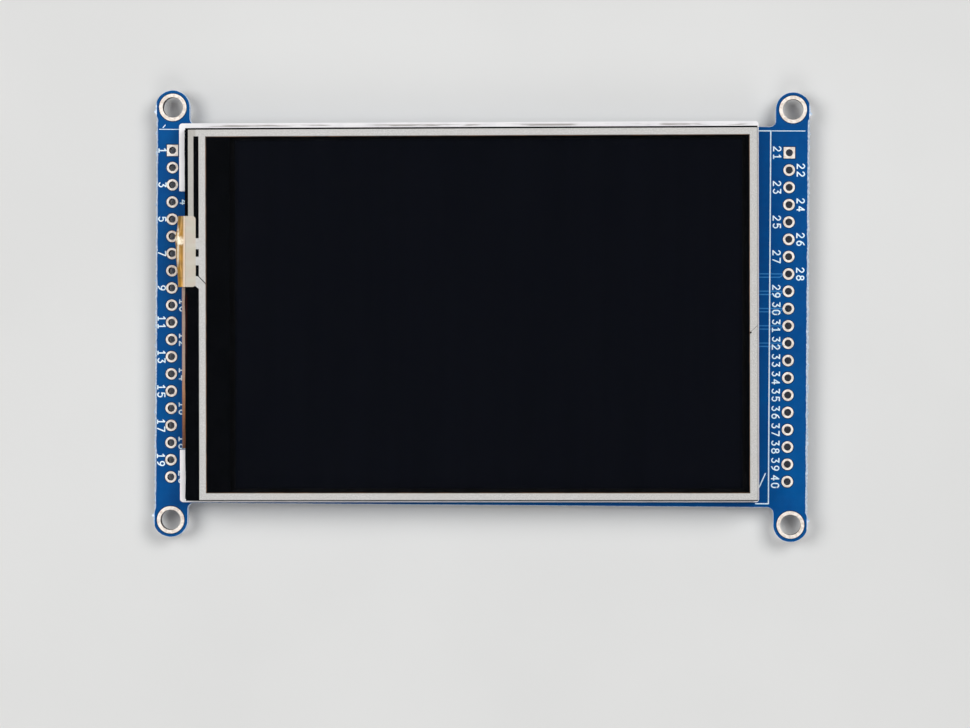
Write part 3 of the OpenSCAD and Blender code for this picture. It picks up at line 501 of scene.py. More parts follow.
@dataclass(frozen=True)
class TouchTail(FlexFilm):
    """The touch sheet's flex: pale over its pads on the sheet, golden with painted highlights where it
    bulges out.

    Attributes:
        edge: Place along X where the pale patch ends.
        patch_colour: Tone of the patch.
        top: Tone that the gold drifts to at its upper end.
    """

    edge: float = -43.48
    patch_colour: str = "c9c1b4"
    top: str = "6b5420"

    def tone(self, sheet: Sheet) -> Shade:
        """Golden film with painted highlights outside the sheet, pale pads on it.

        Args:
            sheet: The material's tree.

        Returns:
            The colour over the surface.
        """
        gold = sheet.blend(sheet.noise(2.2, 2.0).span(0.35, 0.65), self.colour, self.shade)
        gold = sheet.blend(self.lines(sheet) * 0.2, gold, self.copper)
        gold = sheet.blend(sheet.y.span(11.5, 14.5) * 0.55, gold, self.top)
        # Painted highlights: a white crease across the bulge and a bright line along its outer edge.
        crease = sheet.noise(0.9, 2.0) * 1.8 - 0.9
        fold = 1 - abs(sheet.y - 10.7 + crease).span(0.1, 0.75)
        line = 1 - abs(sheet.x - self.edge + 0.82).span(0.05, 0.22)
        line = line * sheet.y.span(6.5, 8.0) * (1 - sheet.y.span(12.3, 13.2))
        painted_highlight = fold.most(line) * sheet.noise(0.35, 3.0).span(0.3, 0.5)
        gold = sheet.blend(painted_highlight * 0.85, gold, "fff4dc")
        pads = sheet.y.fold(1.25).span(0.25, 0.42)
        pale = sheet.blend(pads * 0.4, self.patch_colour, "c6b5a7")
        pale = sheet.blend(sheet.noise(0.9, 1.0).span(0.35, 0.7) * 0.5, pale, "c0c1af")
        rim = 1 - sheet.x.span(self.edge + 0.1, self.edge + 0.4)
        pale = sheet.blend(rim * 0.8, pale, "ecd2b8")
        return sheet.blend(sheet.x.span(self.edge - 0.16, self.edge + 0.14), gold, pale)


@dataclass(frozen=True)
class ClearSheet(Finish):
    """Clear film or glass: what lies under it shows, and its ground edges are tinted.

    Attributes:
        head_on: Share of light that it throws back when seen head-on.
        grazing: Share when seen along its surface.
        edge_share: How much its cut edges hide.
        haze: How much its faces hide.
    """

    head_on: float = 0.008
    grazing: float = 0.5
    edge_share: float = 0.55
    haze: float = 0.0

    def shader(self, sheet: Sheet) -> Shade:
        """A clear face with a soft reflection, and tinted cut edges.

        Args:
            sheet: The material's tree.

        Returns:
            The mixed shader.
        """
        facing = sheet.node("ShaderNodeLayerWeight", {}, {"Blend": 0.5}, "Facing")
        side = sheet.level().span(0.75, 0.35)
        share = facing ** 4.0 * self.grazing + self.head_on
        share = share.most(side * self.edge_share)
        body = super().shader(sheet)
        clear = sheet.node("ShaderNodeBsdfTransparent", {}, {0: (1, 1, 1, 1)})
        return sheet.node("ShaderNodeMixShader", {}, {0: share + self.haze, 1: clear, 2: body})


@dataclass(frozen=True)
class PictureGlass(Finish):
    """The dark picture area: fine columns of the cells and a drift of navy."""

    def tone(self, sheet: Sheet) -> Shade:
        """Navy with faint bands.

        Args:
            sheet: The material's tree.

        Returns:
            The colour over the surface.
        """
        bands = sheet.noise(3.0, 2.0, (0.4, 20, 1)).span(0.35, 0.65)
        base = sheet.blend(bands, self.colour, self.shade)
        cells = sheet.x.fold(0.11) / 0.11
        return sheet.blend(cells * 0.12, base, "232736")


@dataclass(frozen=True)
class BorderInk(Finish):
    """Black border print, with a painted red-brown reflection of the flex along its left edge.

    Attributes:
        glow: Tone of the painted reflection.
        glow_x: Where the painted reflection ends.
        glow_y: The stretch along Y that has it.
    """

    glow: str = "38140a"
    glow_x: float = -42.75
    glow_y: Point = (-9.0, 3.5)

    def tone(self, sheet: Sheet) -> Shade:
        """Black, with the painted reflection of the flex near its left edge.

        Args:
            sheet: The material's tree.

        Returns:
            The colour over the surface.
        """
        # Painted reflection of the flex, near the left edge and over part of its length.
        near = 1 - sheet.x.span(self.glow_x - 0.45, self.glow_x)
        low, high = self.glow_y
        reach = sheet.y.span(low, low + 5.0) * (1 - sheet.y.span(high - 1.5, high))
        return sheet.blend(near * reach, super().tone(sheet), self.glow)


@dataclass(frozen=True)
class DotPrint(Finish):
    """Clear moulding with a printed pattern of dots, as on a light guide.

    Attributes:
        dot_pitch: Pitch of the dots, in millimetres.
    """

    dot_pitch: float = 0.6

    def tone(self, sheet: Sheet) -> Shade:
        """White dots on the pale sheet."""
        dots = sheet.cells(self.dot_pitch, 0.0).span(0.30, 0.24)
        return sheet.blend(dots, super().tone(sheet), "fdfefc")


@dataclass(frozen=True)
class WoundWire(Finish):
    """Enamelled wire in stacked turns.

    Attributes:
        turn: Diameter of the wire, in millimetres.
    """

    turn: float = 0.14

    def height(self, sheet: Sheet) -> Shade:
        """Round turns one above another."""
        return sheet.z.fold(self.turn / 2) / self.turn * 2 + sheet.noise(0.3, 2.0) * 0.2

    def tone(self, sheet: Sheet) -> Shade:
        """Painted shade in the gaps between the turns."""
        gap = sheet.z.fold(self.turn / 2).span(0.02, 0.0)
        return sheet.blend(gap, super().tone(sheet), "3c1d10")


@dataclass(frozen=True)
class ScuffedFrame(Finish):
    """White moulded frame, with a broken grey-brown line along its upper wall.

    Attributes:
        scuff_y: Place of the grey-brown line along Y.
    """

    scuff_y: float = 27.9

    def tone(self, sheet: Sheet) -> Shade:
        """White with flow marks and the broken grey-brown line.

        Args:
            sheet: The material's tree.

        Returns:
            The colour over the surface.
        """
        base = super().tone(sheet)
        level = sheet.y - sheet.x * math.tan(math.radians(0.45))
        line = abs(level - self.scuff_y).span(0.22, 0.06)
        broken = sheet.noise(0.9, 4.0, (9, 0.5, 1)).span(0.46, 0.58)
        middle = 1 - abs(sheet.x + 1.0).span(38.5, 40.5)
        return sheet.blend(line * broken * middle * 0.75, base, "8d8580")


# Finishes by the record's material slots, and then those of the details that are added here
FINISHES: dict[str, Finish] = {
    "blue_mask": MaskCoat("solder_mask_blue", "004686", "005192", 1.6, (0.32, 0.44), 0.2, 0.003,
                          gloss=0.06),
    "mask_track": MaskCoat("solder_mask_over_track", "2878b8", "3a88c4", 1.0, (0.28, 0.4), 0.2, 0.003,
                           gloss=0.2),
    "mask_gap": MaskCoat("solder_mask_over_laminate", "02335f", "022c55", 1.0, (0.3, 0.42), 0.2,
                         0.003, gloss=0.12),
    "laminate": Laminate("cut_laminate", "e8f2fd", "a3c0e0", 0.5, (0.6, 0.8), 0.1, 0.02),
    "silk": Finish("marking_ink", "e9f7ff", "d0ecfb", 0.5, (0.55, 0.7), 0.07, 0.004),
    "plated_pads": PlatedHole("levelled_solder", "f8efe6", "dccfc3", 0.5, (0.3, 0.48), 0.35, 0.012,
                              0.1),
    "solder": Finish("solder_joint", "d6d8da", "a9acb0", 0.6, (0.2, 0.38), 0.3, 0.012, 0.8),
    "white_foam": Finish("foam_tape", "ece8da", "d9d3c0", 0.6, (0.8, 0.95), 0.09, 0.02, gloss=0.2),
    "frame_white": ScuffedFrame("white_moulding", "fcfafc", "f2f0f3", 3.0, (0.42, 0.56), 0.14, 0.003),
    "reflector": Finish("reflector_film", "e9eef0", "dbe2e6", 5.0, (0.2, 0.3), 0.3, 0.002, 0.3),
    "light_guide": DotPrint("light_guide", "dcebe8", "cfe2de", 4.0, (0.1, 0.2), 0.3, 0.002),
    "diffuser_film": Finish("diffuser_film", "f3f3ee", "e6e6e0", 2.0, (0.7, 0.85), 0.06, 0.006),
    "prism_film": Finish("prism_film", "dfe7e8", "ccd6d8", 3.0, (0.15, 0.3), 0.05, 0.012,
                         stretch=(40, 1, 1)),
    "black_tape": Finish("black_tape", "050506", "0a0a0d", 1.5, (0.5, 0.65), 0.08, 0.004, gloss=0.04),
    "white_flex": FlexFilm("led_strip", "efe7cf", "e2d8ba", 2.0, (0.4, 0.5), 0.2, 0.003,
                           pitch=2.0, line=0.6, copper="d9c79a"),
    "led_package": Finish("led_package", "f6eebf", "efdf8a", 0.8, (0.3, 0.45), 0.1, 0.003),
    "polariser": PictureGlass("polariser", "05060b", "07080e", 6.0, (0.10, 0.18), 0.5, 0.0005,
                              gloss=0.05),
    "panel_glass": Finish("panel_glass", "a3b6bb", "8fa5ab", 6.0, (0.05, 0.1), 0.6, 0.0005),
    "driver_silicon": Finish("driver_silicon", "43464e", "363941", 1.0, (0.15, 0.25), 0.1, 0.001,
                             0.4),
    "amber_flex": FlexFilm("amber_flex", "a35f2c", "8c4c20", 1.5, (0.3, 0.42), 0.3, 0.004, 0.15,
                           stops=((0.0, "4a2a18"), (0.10, "9a6238"), (0.30, "cb9a76"),
                                  (0.52, "cfbbae"), (1.0, "c6b3a6")), reach=(-20.0, 5.0)),
    "stiffener_blue": Finish("stiffener", "2a5db0", "2450a0", 2.0, (0.35, 0.5), 0.15, 0.003),
    "touch_glass": ClearSheet("touch_glass", "26332f", "1d2926", 2.0, (0.06, 0.14), 0.4, 0.001,
                              head_on=0.004, edge_share=0.6),
    "spacer_ink": BorderInk("border_ink", "020305", "040508", 2.5, (0.35, 0.5), 0.15, 0.001,
                            gloss=0.02),
    "printed_silver": SilverInk("printed_silver", "d2d1cf", "b9b8b6", 1.0, (0.42, 0.55), 0.12, 0.002,
                                0.08),
    "touch_film": ClearSheet("touch_film", "2b3036", "23272d", 3.0, (0.10, 0.2), 0.3, 0.0006,
                             head_on=0.005, edge_share=0.45, haze=0.002),
    "touch_flex": TouchTail("golden_flex", "ab7a16", "86600f", 0.5, (0.28, 0.38), 0.5, 0.001, 0.2,
                            pitch=2.5, line=0.7, copper="cf9a3a"),
    "socket_plastic": Finish("socket_moulding", "3b3a37", "302f2c", 1.5, (0.5, 0.65), 0.07, 0.004),
    "latch_plastic": Finish("latch_moulding", "1b1a19", "242321", 1.2, (0.45, 0.6), 0.08, 0.004),
    "contact_metal": Finish("contact_metal", "dcc488", "b89a58", 0.6, (0.22, 0.36), 0.1, 0.003, 0.9,
                            stretch=(6, 1, 1)),
    "tin_metal": Finish("tinned_lead", "cfd1d3", "aaadb1", 0.5, (0.25, 0.42), 0.1, 0.004, 0.85),
    "shell_steel": Finish("rolled_steel", "c3c6c9", "adb0b4", 1.6, (0.26, 0.42), 0.07, 0.003, 0.9,
                          stretch=(1, 24, 1)),
    "slider_plastic": Finish("slider_moulding", "e6e1d3", "d8d2c0", 1.2, (0.4, 0.55), 0.1, 0.003),
    "spring_wire": Finish("drawn_wire", "b7babe", "94979c", 0.3, (0.2, 0.35), 0.05, 0.003, 0.95,
                          stretch=(1, 6, 1)),
    "chip_plastic": Finish("moulded_package", "232427", "2c2d31", 1.0, (0.55, 0.72), 0.06, 0.006,
                           gloss=0.35),
    "ferrite": Finish("ferrite", "4b4c51", "3d3e43", 0.5, (0.5, 0.7), 0.06, 0.012, 0.2),
    "copper_wire": WoundWire("copper_winding", "b8683a", "a3552c", 0.6, (0.22, 0.35), 0.1, 0.02, 0.6),
    "tantalum_yellow": Finish("yellow_package", "d9a33e", "cc9431", 0.9, (0.4, 0.55), 0.07, 0.006),
    "ceramic_brown": Finish("fired_ceramic", "ba9468", "a78158", 0.4, (0.35, 0.5), 0.08, 0.006),
    "resistor_black": Finish("resistor_glaze", "15161a", "1f2126", 0.4, (0.25, 0.4), 0.06, 0.003),
    "polarity_band": Finish("package_band", "7a5a20", "6b4d18", 0.4, (0.45, 0.6), 0.07, 0.003),
    "film_varnish": Finish("edge_varnish", "6b4a2e", "3d2a1c", 0.9, (0.4, 0.5), 0.2, 0.001,
                           stretch=(3, 3, 1)),
    "solid_black": Finish("bare_nick", "060608", "0b0b0e", 0.3, (0.5, 0.7), 0.1, 0.002, gloss=0.2),
}


# ---------------------------------------------------------------- making pieces


def dress(slot: str, edge: float, *nodes: str, segments: int = 2) -> None:
    """Gives carried-over nodes their finish and softens their edges.

    Args:
        slot: Key of the finish.
        edge: Width of the softened edges in millimetres, or 0 to leave them.
        nodes: Names of the nodes.
        segments: Steps across a softened edge.
    """
    for node in nodes:
        obj = frame["nodes"][node]
        obj.data.materials.clear()
        obj.data.materials.append(FINISHES[slot].material())
        if edge:
            weld = obj.modifiers.new("weld", "WELD")
            weld.merge_threshold = WELD
            soften(obj, edge, segments)
        LOG.info("%s: %s", node, FINISHES[slot].name)


def soften(obj: bpy.types.Object, edge: float, segments: int = 2) -> None:
    """Adds a bevel on the sharp edges.

    Args:
        obj: The piece or node.
        edge: Width of the bevel, in millimetres.
        segments: Steps across it.
    """
    bevel = obj.modifiers.new("soft_edges", "BEVEL")
    bevel.width = edge * MM
    bevel.segments = segments
    bevel.limit_method = "ANGLE"
    bevel.angle_limit = math.radians(35)
    bevel.offset_type = "OFFSET"


def foot(node: str) -> float:
    """Height of a node's lower face, in millimetres."""
    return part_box(node)[0].z / MM


def copied(node: str, merge: float = 1e-6, flat: bool = True) -> bmesh.types.BMesh:
    """Copies a node's mesh and merges its loose triangles.

    Args:
        node: Name of the node.
        merge: Points closer than this become one, in metres.
        flat: True to make each flat face one polygon too.

    Returns:
        The copy.
    """
    shape = bmesh.new()
    shape.from_mesh(frame["nodes"][node].data)
    bmesh.ops.remove_doubles(shape, verts=shape.verts, dist=merge)
    if flat:
        bmesh.ops.dissolve_limit(shape, angle_limit=math.radians(1), verts=shape.verts,
                                 edges=shape.edges)
    return shape


def piece(name: str, shape: bmesh.types.BMesh, slots: Sequence[str],
          replaces: Sequence[str] = ()) -> bpy.types.Object:
    """Turns a finished bmesh into a piece that rides on the module.

    Args:
        name: Name of the piece.
        shape: Its mesh, in metres; it is freed.
        slots: Keys of its finishes, in the order of its material indices.
        replaces: Nodes that it stands for.

    Returns:
        The new object.
    """
    mesh = bpy.data.meshes.new(name)
    for polygon in shape.faces:
        polygon.smooth = False
    shape.to_mesh(mesh)
    shape.free()
    for key in slots:
        mesh.materials.append(FINISHES[key].material())
    obj = bpy.data.objects.new(name, mesh)
    bpy.context.scene.collection.objects.link(obj)
    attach(obj, "module_body")
    if replaces:
        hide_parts(*replaces)
    LOG.info("%s: %d faces", name, len(mesh.polygons))
    return obj


def mound(shape: bmesh.types.BMesh, centre: Sequence[float], size: Sequence[float],
          top: Point = (0.7, 0.7), turn: float = 0.0, slide: float = 0.0) -> None:
    """Adds a low block whose outer face is smaller than its foot.

    Args:
        shape: The mesh that it joins.
        centre: Middle of its foot, in millimetres.
        size: Its length, width and height; a negative height goes down.
        top: Share of the length and width that the outer face keeps.
        turn: Turn about Z, in degrees.
        slide: How far the outer face is moved along the length, in millimetres.
    """
    made = bmesh.ops.create_cube(shape, size=1.0)["verts"]
    for vert in made:
        outer = vert.co.z > 0
        vert.co.x = vert.co.x * size[0] * (top[0] if outer else 1) + (slide if outer else 0)
        vert.co.y *= size[1] * (top[1] if outer else 1)
        vert.co.z = size[2] if outer else 0.0
    spin = Matrix.Rotation(math.radians(turn), 4, "Z")
    bmesh.ops.transform(shape, matrix=Matrix.Translation(Vector(centre)) @ spin, verts=made)
    bmesh.ops.scale(shape, vec=(MM, MM, MM), verts=made)


def disc(shape: bmesh.types.BMesh, spot: Point, z: float, radii: Point, height: float,
         sides: int = 20) -> None:
    """Adds a low round disc or frustum, in millimetres, from z upwards or downwards.

    Args:
        shape: The mesh that it joins.
        spot: Its middle.
        z: Height of its foot.
        radii: Radius of its foot and of its outer face.
        height: How far it stands out; a negative height goes down.
        sides: Steps round it.
    """
    made = bmesh.ops.create_cone(shape, cap_ends=True, segments=sides, radius1=radii[0],
                                 radius2=radii[1], depth=abs(height))["verts"]
    if height < 0:
        bmesh.ops.rotate(shape, verts=made, cent=(0, 0, 0), matrix=Matrix.Rotation(math.pi, 3, "X"))
    bmesh.ops.translate(shape, verts=made, vec=(spot[0], spot[1], z + height / 2))
    bmesh.ops.scale(shape, vec=(MM, MM, MM), verts=made)


def ring(shape: bmesh.types.BMesh, centre: Sequence[float], radii: Point, height: float,
         square: bool = False, sides: int = 32) -> None:
    """Adds a thin flat ring, half sunk into a face.

    Args:
        shape: The mesh that it joins.
        centre: Its middle on the face, in millimetres.
        radii: Its inner and outer radius.
        height: How far it stands out.
        square: True for a square outline.
        sides: Steps round it.
    """
    before = set(shape.verts)
    x, y, z = (c * MM for c in centre)
    section = [shape.verts.new((x + radius * MM, y, z + rise * MM)) for radius, rise in zip(
        (*radii, *radii[::-1]), (-height, -height, height, height))]
    edges = [shape.edges.new((section[i - 1], vert)) for i, vert in enumerate(section)]
    bmesh.ops.spin(shape, geom=[*section, *edges], cent=(x, y, z), axis=(0, 0, 1),
                   angle=2 * math.pi, steps=sides, use_merge=True)
    for vert in set(shape.verts) - before if square else ():
        reach = Vector((vert.co.x - x, vert.co.y - y))
        if reach.length > (radii[0] + radii[1]) / 2 * MM:
            reach *= reach.length / max(abs(reach.x), abs(reach.y))
            vert.co.xy = (x + reach.x, y + reach.y)


@dataclass
class Strokes:
    """Lines of one height on a face of the board, such as tracks or ink.

    Attributes:
        height: How far they stand out, in millimetres.
        paths: Each line's points and width, in millimetres.
        sides: Steps round each end.
    """

    height: float
    paths: list[tuple[Sequence[Point], float]] = field(default_factory=list)
    sides: int = 4

    def add(self, points: Sequence[Point], width: float) -> None:
        """Adds one line."""
        self.paths.append((points, width))

    def box(self, centre: Point, size: Point, width: float) -> None:
        """Adds the outline of a box.

        Args:
            centre: Middle of the box, in millimetres.
            size: Its sizes along X and Y.
            width: Width of its lines.
        """
        (x, y), (w, h) = centre, (size[0] / 2, size[1] / 2)
        corners = [(x - w, y - h), (x + w, y - h), (x + w, y + h), (x - w, y + h)]
        for first, second in zip(corners, corners[1:] + corners[:1]):
            self.add([first, second], width)

    def footprint(self, shape: bmesh.types.BMesh, ends: tuple[Point, Point], radius: float,
                  z: float) -> None:
        """Adds the lower face of one straight bar with round ends.

        Args:
            shape: The mesh that it joins.
            ends: Both ends of its middle line, in millimetres.
            radius: Half of its width.
            z: Its height.
        """
        (x0, y0), (x1, y1) = ends
        lean = math.atan2(y1 - y0, x1 - x0) - math.pi / 2
        outline = []
        for (x, y), start in ((ends[1], lean), (ends[0], lean + math.pi)):
            turns = [start + math.pi * i / self.sides for i in range(self.sides + 1)]
            outline += [(x + radius * math.cos(a), y + radius * math.sin(a)) for a in turns]
        shape.faces.new([shape.verts.new((x * MM, y * MM, z * MM)) for x, y in outline])

    def shape(self, face_z: float, widen: float = 0.0) -> bmesh.types.BMesh:
        """Makes the lines as thin bars, half sunk into the face.

        Args:
            face_z: Height of the face, in millimetres.
            widen: How much wider each line is made, in millimetres.

        Returns:
            The mesh of all lines.
        """
        shape = bmesh.new()
        count = 0
        for points, width in self.paths:
            for ends in zip(points, points[1:]):
                count += 1
                rise = self.height * (1 + 0.03 * (count % 5))
                self.footprint(shape, ends, (width + widen) / 2, face_z - rise)
        for part in bmesh.ops.extrude_face_region(shape, geom=shape.faces[:])["geom"]:
            if isinstance(part, bmesh.types.BMVert):
                part.co.z = 2 * face_z * MM - part.co.z
        return shape


def arc(centre: Point, radii: Point, start: float, end: float, steps: int = 7) -> list[Point]:
    """Points on part of an ellipse, from one angle in degrees to another."""
    angles = [math.radians(start + (end - start) * i / steps) for i in range(steps + 1)]
    return [(centre[0] + radii[0] * math.cos(a), centre[1] + radii[1] * math.sin(a)) for a in angles]


DIGITS: dict[str, list[list[Point]]] = {
    "0": [arc((0.3, 0.68), (0.28, 0.32), 0, 180) + arc((0.3, 0.32), (0.28, 0.32), 180, 360)
          + [(0.58, 0.68)]],
    "1": [[(0.1, 0.78), (0.33, 1.0), (0.33, 0.0)], [(0.1, 0.0), (0.56, 0.0)]],
    "2": [arc((0.3, 0.71), (0.28, 0.29), 165, -25) + [(0.02, 0.0), (0.6, 0.0)]],
    "3": [[(0.04, 1.0), (0.56, 1.0), (0.28, 0.6)] + arc((0.29, 0.3), (0.29, 0.3), 85, -150)],
    "4": [[(0.46, 0.0), (0.46, 1.0), (0.02, 0.3), (0.62, 0.3)]],
    "5": [[(0.54, 1.0), (0.08, 1.0), (0.05, 0.56)] + arc((0.28, 0.33), (0.3, 0.33), 125, -145)],
    "6": [[(0.5, 1.0), (0.2, 0.82), (0.04, 0.5)] + arc((0.3, 0.3), (0.28, 0.3), 165, 525, 12)],
    "7": [[(0.0, 1.0), (0.6, 1.0), (0.2, 0.0)]],
    "8": [arc((0.3, 0.27), (0.3, 0.27), 90, 450, 12), arc((0.3, 0.77), (0.25, 0.23), -90, 270, 12)],
    "9": [[(0.1, 0.0), (0.4, 0.18), (0.56, 0.5)] + arc((0.3, 0.7), (0.28, 0.3), -15, -375, 12)],
}


@dataclass
class Numerals:
    """Stroke numerals, 0.6 wide and 1 high before they are scaled.

    Attributes:
        tall: Their height, in millimetres.
        pen: Width of the pen.
        advance: From one digit to the next.
    """

    tall: float
    pen: float
    advance: float

    def write(self, strokes: Strokes, number: int, centre: Point, along: Point, up: Point) -> None:
        """Writes a number about a centre.

        Args:
            strokes: The lines that it joins.
            number: The number.
            centre: The middle of the written number, in millimetres.
            along: Direction in which it is read.
            up: Direction of the tops of its digits.
        """
        digits = str(number)
        length = (len(digits) - 1) * self.advance + 0.6 * self.tall
        for i, digit in enumerate(digits):
            for path in DIGITS[digit]:
                points = []
                for u, v in path:
                    a = i * self.advance + u * self.tall - length / 2
                    b = (v - 0.5) * self.tall
                    points.append((centre[0] + along[0] * a + up[0] * b,
                                   centre[1] + along[1] * a + up[1] * b))
                strokes.add(points, self.pen)


# ---------------------------------------------------------------- carrier board


@dataclass
class CarrierBoard:
    """The glass-fibre board with its scored edges, tracks, pads and printed marks.

    Attributes:
        half_width: Half of the width over the scored edges.
        mount: Place of the mounting holes.
        columns: Place of the two columns of pin holes along X.
        pins: Pins in a column.
        pitch: Pitch of the pins.
        score: Width of the slope that the scoring left on each face.
        rim: Width of the bare rim on the milled outline.
        bare: Width of the strip along the scored edges that the mask leaves bare.
        strip: Width of the strip that the torn edge is made from.
        web: Half thickness of the laminate that broke between the scored slopes.
        tears: Steps along a torn edge.
        long_side: Edges longer than this belong to the two scored sides.
        score_end: Where the torn edges end along Y.
        hole_reach: Edges nearer to a mounting hole's middle than this lie round the hole.
        pad: Inner and outer radius under which a pin's clearance lies.
        mount_ring: The same at a mounting hole.
        clearance: Width of the dark gap round each pad.
        left_numbers: Places along X of the left column's odd and even numbers.
        right_numbers: Places along X of the right column's outer and inner numbers.
        seed: Seed of the torn edges.
    """

    half_width: float = 48.26
    mount: Point = (45.72, 30.48)
    columns: Point = (-45.72, 45.21)
    pins: int = 20
    pitch: float = 2.54
    score: float = 0.36
    rim: float = 0.13
    bare: float = 0.16
    strip: float = 0.62
    web: float = 0.22
    tears: int = 260
    long_side: float = 40.0
    score_end: float = 29.56
    hole_reach: float = 1.9
    pad: Point = (0.66, 0.84)
    mount_ring: Point = (1.8, 2.02)
    clearance: float = 0.14
    left_numbers: Point = (-47.2, -44.0)
    right_numbers: Point = (46.92, 43.44)
    seed: int = 11

    def __post_init__(self) -> None:
        """Reads the two faces of the board."""
        low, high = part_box("board")
        self.z = {Face.FRONT: high.z / MM, Face.BACK: low.z / MM}

    def pin_y(self, index: int) -> float:
        """Place of a pin along Y, counted from the top."""
        return ((self.pins - 1) / 2 - index) * self.pitch

    def on_outline(self, edge: bmesh.types.BMEdge) -> bool:
        """Tells whether a level edge lies on the outline and not round a hole or the slot.

        Args:
            edge: The edge.

        Returns:
            True on the outline of either face.
        """
        spot = (edge.verts[0].co + edge.verts[1].co) / 2 / MM
        if abs(edge.verts[0].co.z - edge.verts[1].co.z) > 1e-7:
            return False
        if math.dist((abs(spot.x), abs(spot.y)), self.mount) < self.hole_reach:
            return False
        if abs(spot.y) < 26 and abs(spot.x) < self.half_width - 0.2:
            return False
        return min(abs(spot.z - self.z[Face.FRONT]), abs(spot.z - self.z[Face.BACK])) < 0.001

    def milled_board(self) -> None:
        """Copies the board, tears its scored edges and bares a rim round its outline."""
        low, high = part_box("board")
        shape = copied("board")
        self.tear(shape)
        reach = self.half_width - 0.9
        rim = [e for e in shape.edges if self.on_outline(e)
               and abs((e.verts[0].co.x + e.verts[1].co.x) / 2) / MM < reach]
        bmesh.ops.bevel(shape, geom=rim, offset=self.rim * MM, offset_type="OFFSET", segments=2,
                        profile=0.5, affect="EDGES", material=-1, clamp_overlap=True)
        for side in (-1, 1):
            self.cut(shape, list(shape.faces), (side * (self.half_width - self.bare), 0, 0), (1, 0, 0))
        for vert in shape.verts:
            for axis in (0, 1):
                vert.co[axis] = max(low[axis], min(high[axis], vert.co[axis]))
        for polygon in shape.faces:
            polygon.normal_update()
            bare = abs(polygon.calc_center_median().x) > (self.half_width - self.bare) * MM
            polygon.material_index = 0 if abs(polygon.normal.z) > 0.999 and not bare else 1
        piece("carrier_board", shape, ["blue_mask", "laminate"], replaces=["board"])

    def cut(self, shape: bmesh.types.BMesh, faces: Sequence[bmesh.types.BMFace],
            spot: Sequence[float], across: Sequence[float]) -> None:
        """Cuts some faces along a plane.

        Args:
            shape: The mesh.
            faces: The faces that are cut.
            spot: A point of the plane, in millimetres.
            across: Its normal.
        """
        geom = {*faces, *(e for f in faces for e in f.edges), *(v for f in faces for v in f.verts)}
        bmesh.ops.bisect_plane(shape, geom=list(geom), dist=1e-8, plane_co=Vector(spot) * MM,
                               plane_no=across)

    def tear(self, shape: bmesh.types.BMesh) -> None:
        """Cuts the scored slopes on both long edges and roughens what broke between them.

        Args:
            shape: The board's mesh.
        """
        middle = (self.z[Face.FRONT] + self.z[Face.BACK]) / 2
        inside = self.half_width - self.strip
        for side in (-1, 1):
            self.cut(shape, list(shape.faces), (side * inside, 0, 0), (1, 0, 0))
            for face in Face:
                strip = [f for f in shape.faces if f.normal.z * face.value > 0.99
                         and f.calc_center_median().x * side > inside * MM]
                bmesh.ops.dissolve_faces(shape, faces=strip)
            for level in (middle - self.web, middle + self.web):
                self.cut(shape, self.long_walls(shape, side), (0, 0, level), (0, 0, 1))
            long_edges = {e for f in self.long_walls(shape, side) for e in f.edges
                          if e.calc_length() > self.long_side * MM}
            bmesh.ops.subdivide_edges(shape, edges=list(long_edges), cuts=self.tears,
                                      use_grid_fill=True)
            self.roughen(shape, side, middle)

    def long_walls(self, shape: bmesh.types.BMesh, side: int) -> list[bmesh.types.BMFace]:
        """The faces of one scored edge."""
        return [f for f in shape.faces if f.normal.x * side > 0.99
                and max(e.calc_length() for e in f.edges) > self.long_side * MM]

    def roughen(self, shape: bmesh.types.BMesh, side: int, middle: float) -> None:
        """Moves the points of one scored edge.

        Args:
            shape: The mesh.
            side: 1 for the right edge and -1 for the left one.
            middle: Height of the board's middle, in millimetres.
        """
        dice = random.Random(self.seed + side)
        for vert in shape.verts:
            y, z = vert.co.y / MM, vert.co.z / MM
            end = min(1.0, (self.score_end - abs(y)) / 0.8)
            if abs(vert.co.x / MM - side * self.half_width) > 0.002 or end <= 0:
                continue
            drift = noise.noise(Vector((y * 0.7, side * 7.0, z)))
            fine = noise.noise(Vector((y * 4.1, side * 3.0, z * 5)))
            if abs(z - middle) < 0.3:
                spike = 0.9 * max(0.0, dice.random() - 0.82)
                inward = 0.08 + 0.06 * drift + 0.06 * fine - spike
                vert.co.z += 0.05 * fine * MM
            else:
                inward = self.score + 0.06 * drift + 0.07 * fine
            vert.co.x -= side * max(-0.1, inward * end) * MM

    def mask_details(self) -> None:
        """Lays the dark clearance round each pad and ring, on both faces."""
        shape = bmesh.new()
        for face in Face:
            z = self.z[face]
            for x in self.columns:
                for i in range(self.pins):
                    ring(shape, (x, self.pin_y(i), z), (self.pad[0], self.pad[1] + self.clearance),
                         0.003, i == 0)
            for x in (-self.mount[0], self.mount[0]):
                for y in (-self.mount[1], self.mount[1]):
                    ring(shape, (x, y, z), (self.mount_ring[0], self.mount_ring[1] + self.clearance),
                         0.003, sides=48)
        bmesh.ops.recalc_face_normals(shape, faces=shape.faces)
        piece("pad_clearances", shape, ["mask_gap"])

    def front_tracks(self) -> None:
        """Pairs of thin tracks that run from under the panel to five pins of the right column."""
        lines = Strokes(0.008)
        x1 = self.columns[1] - 0.95
        for i in range(7, 12):
            y = self.pin_y(i)
            lines.add([(40.9, y), (x1 + 0.2, y)], 0.16)
            lines.add([(40.9, y - 0.49), (x1 - 0.35, y - 0.49), (x1 + 0.2, y - 0.1)], 0.16)
        piece("front_tracks", lines.shape(self.z[Face.FRONT]), ["mask_track"])

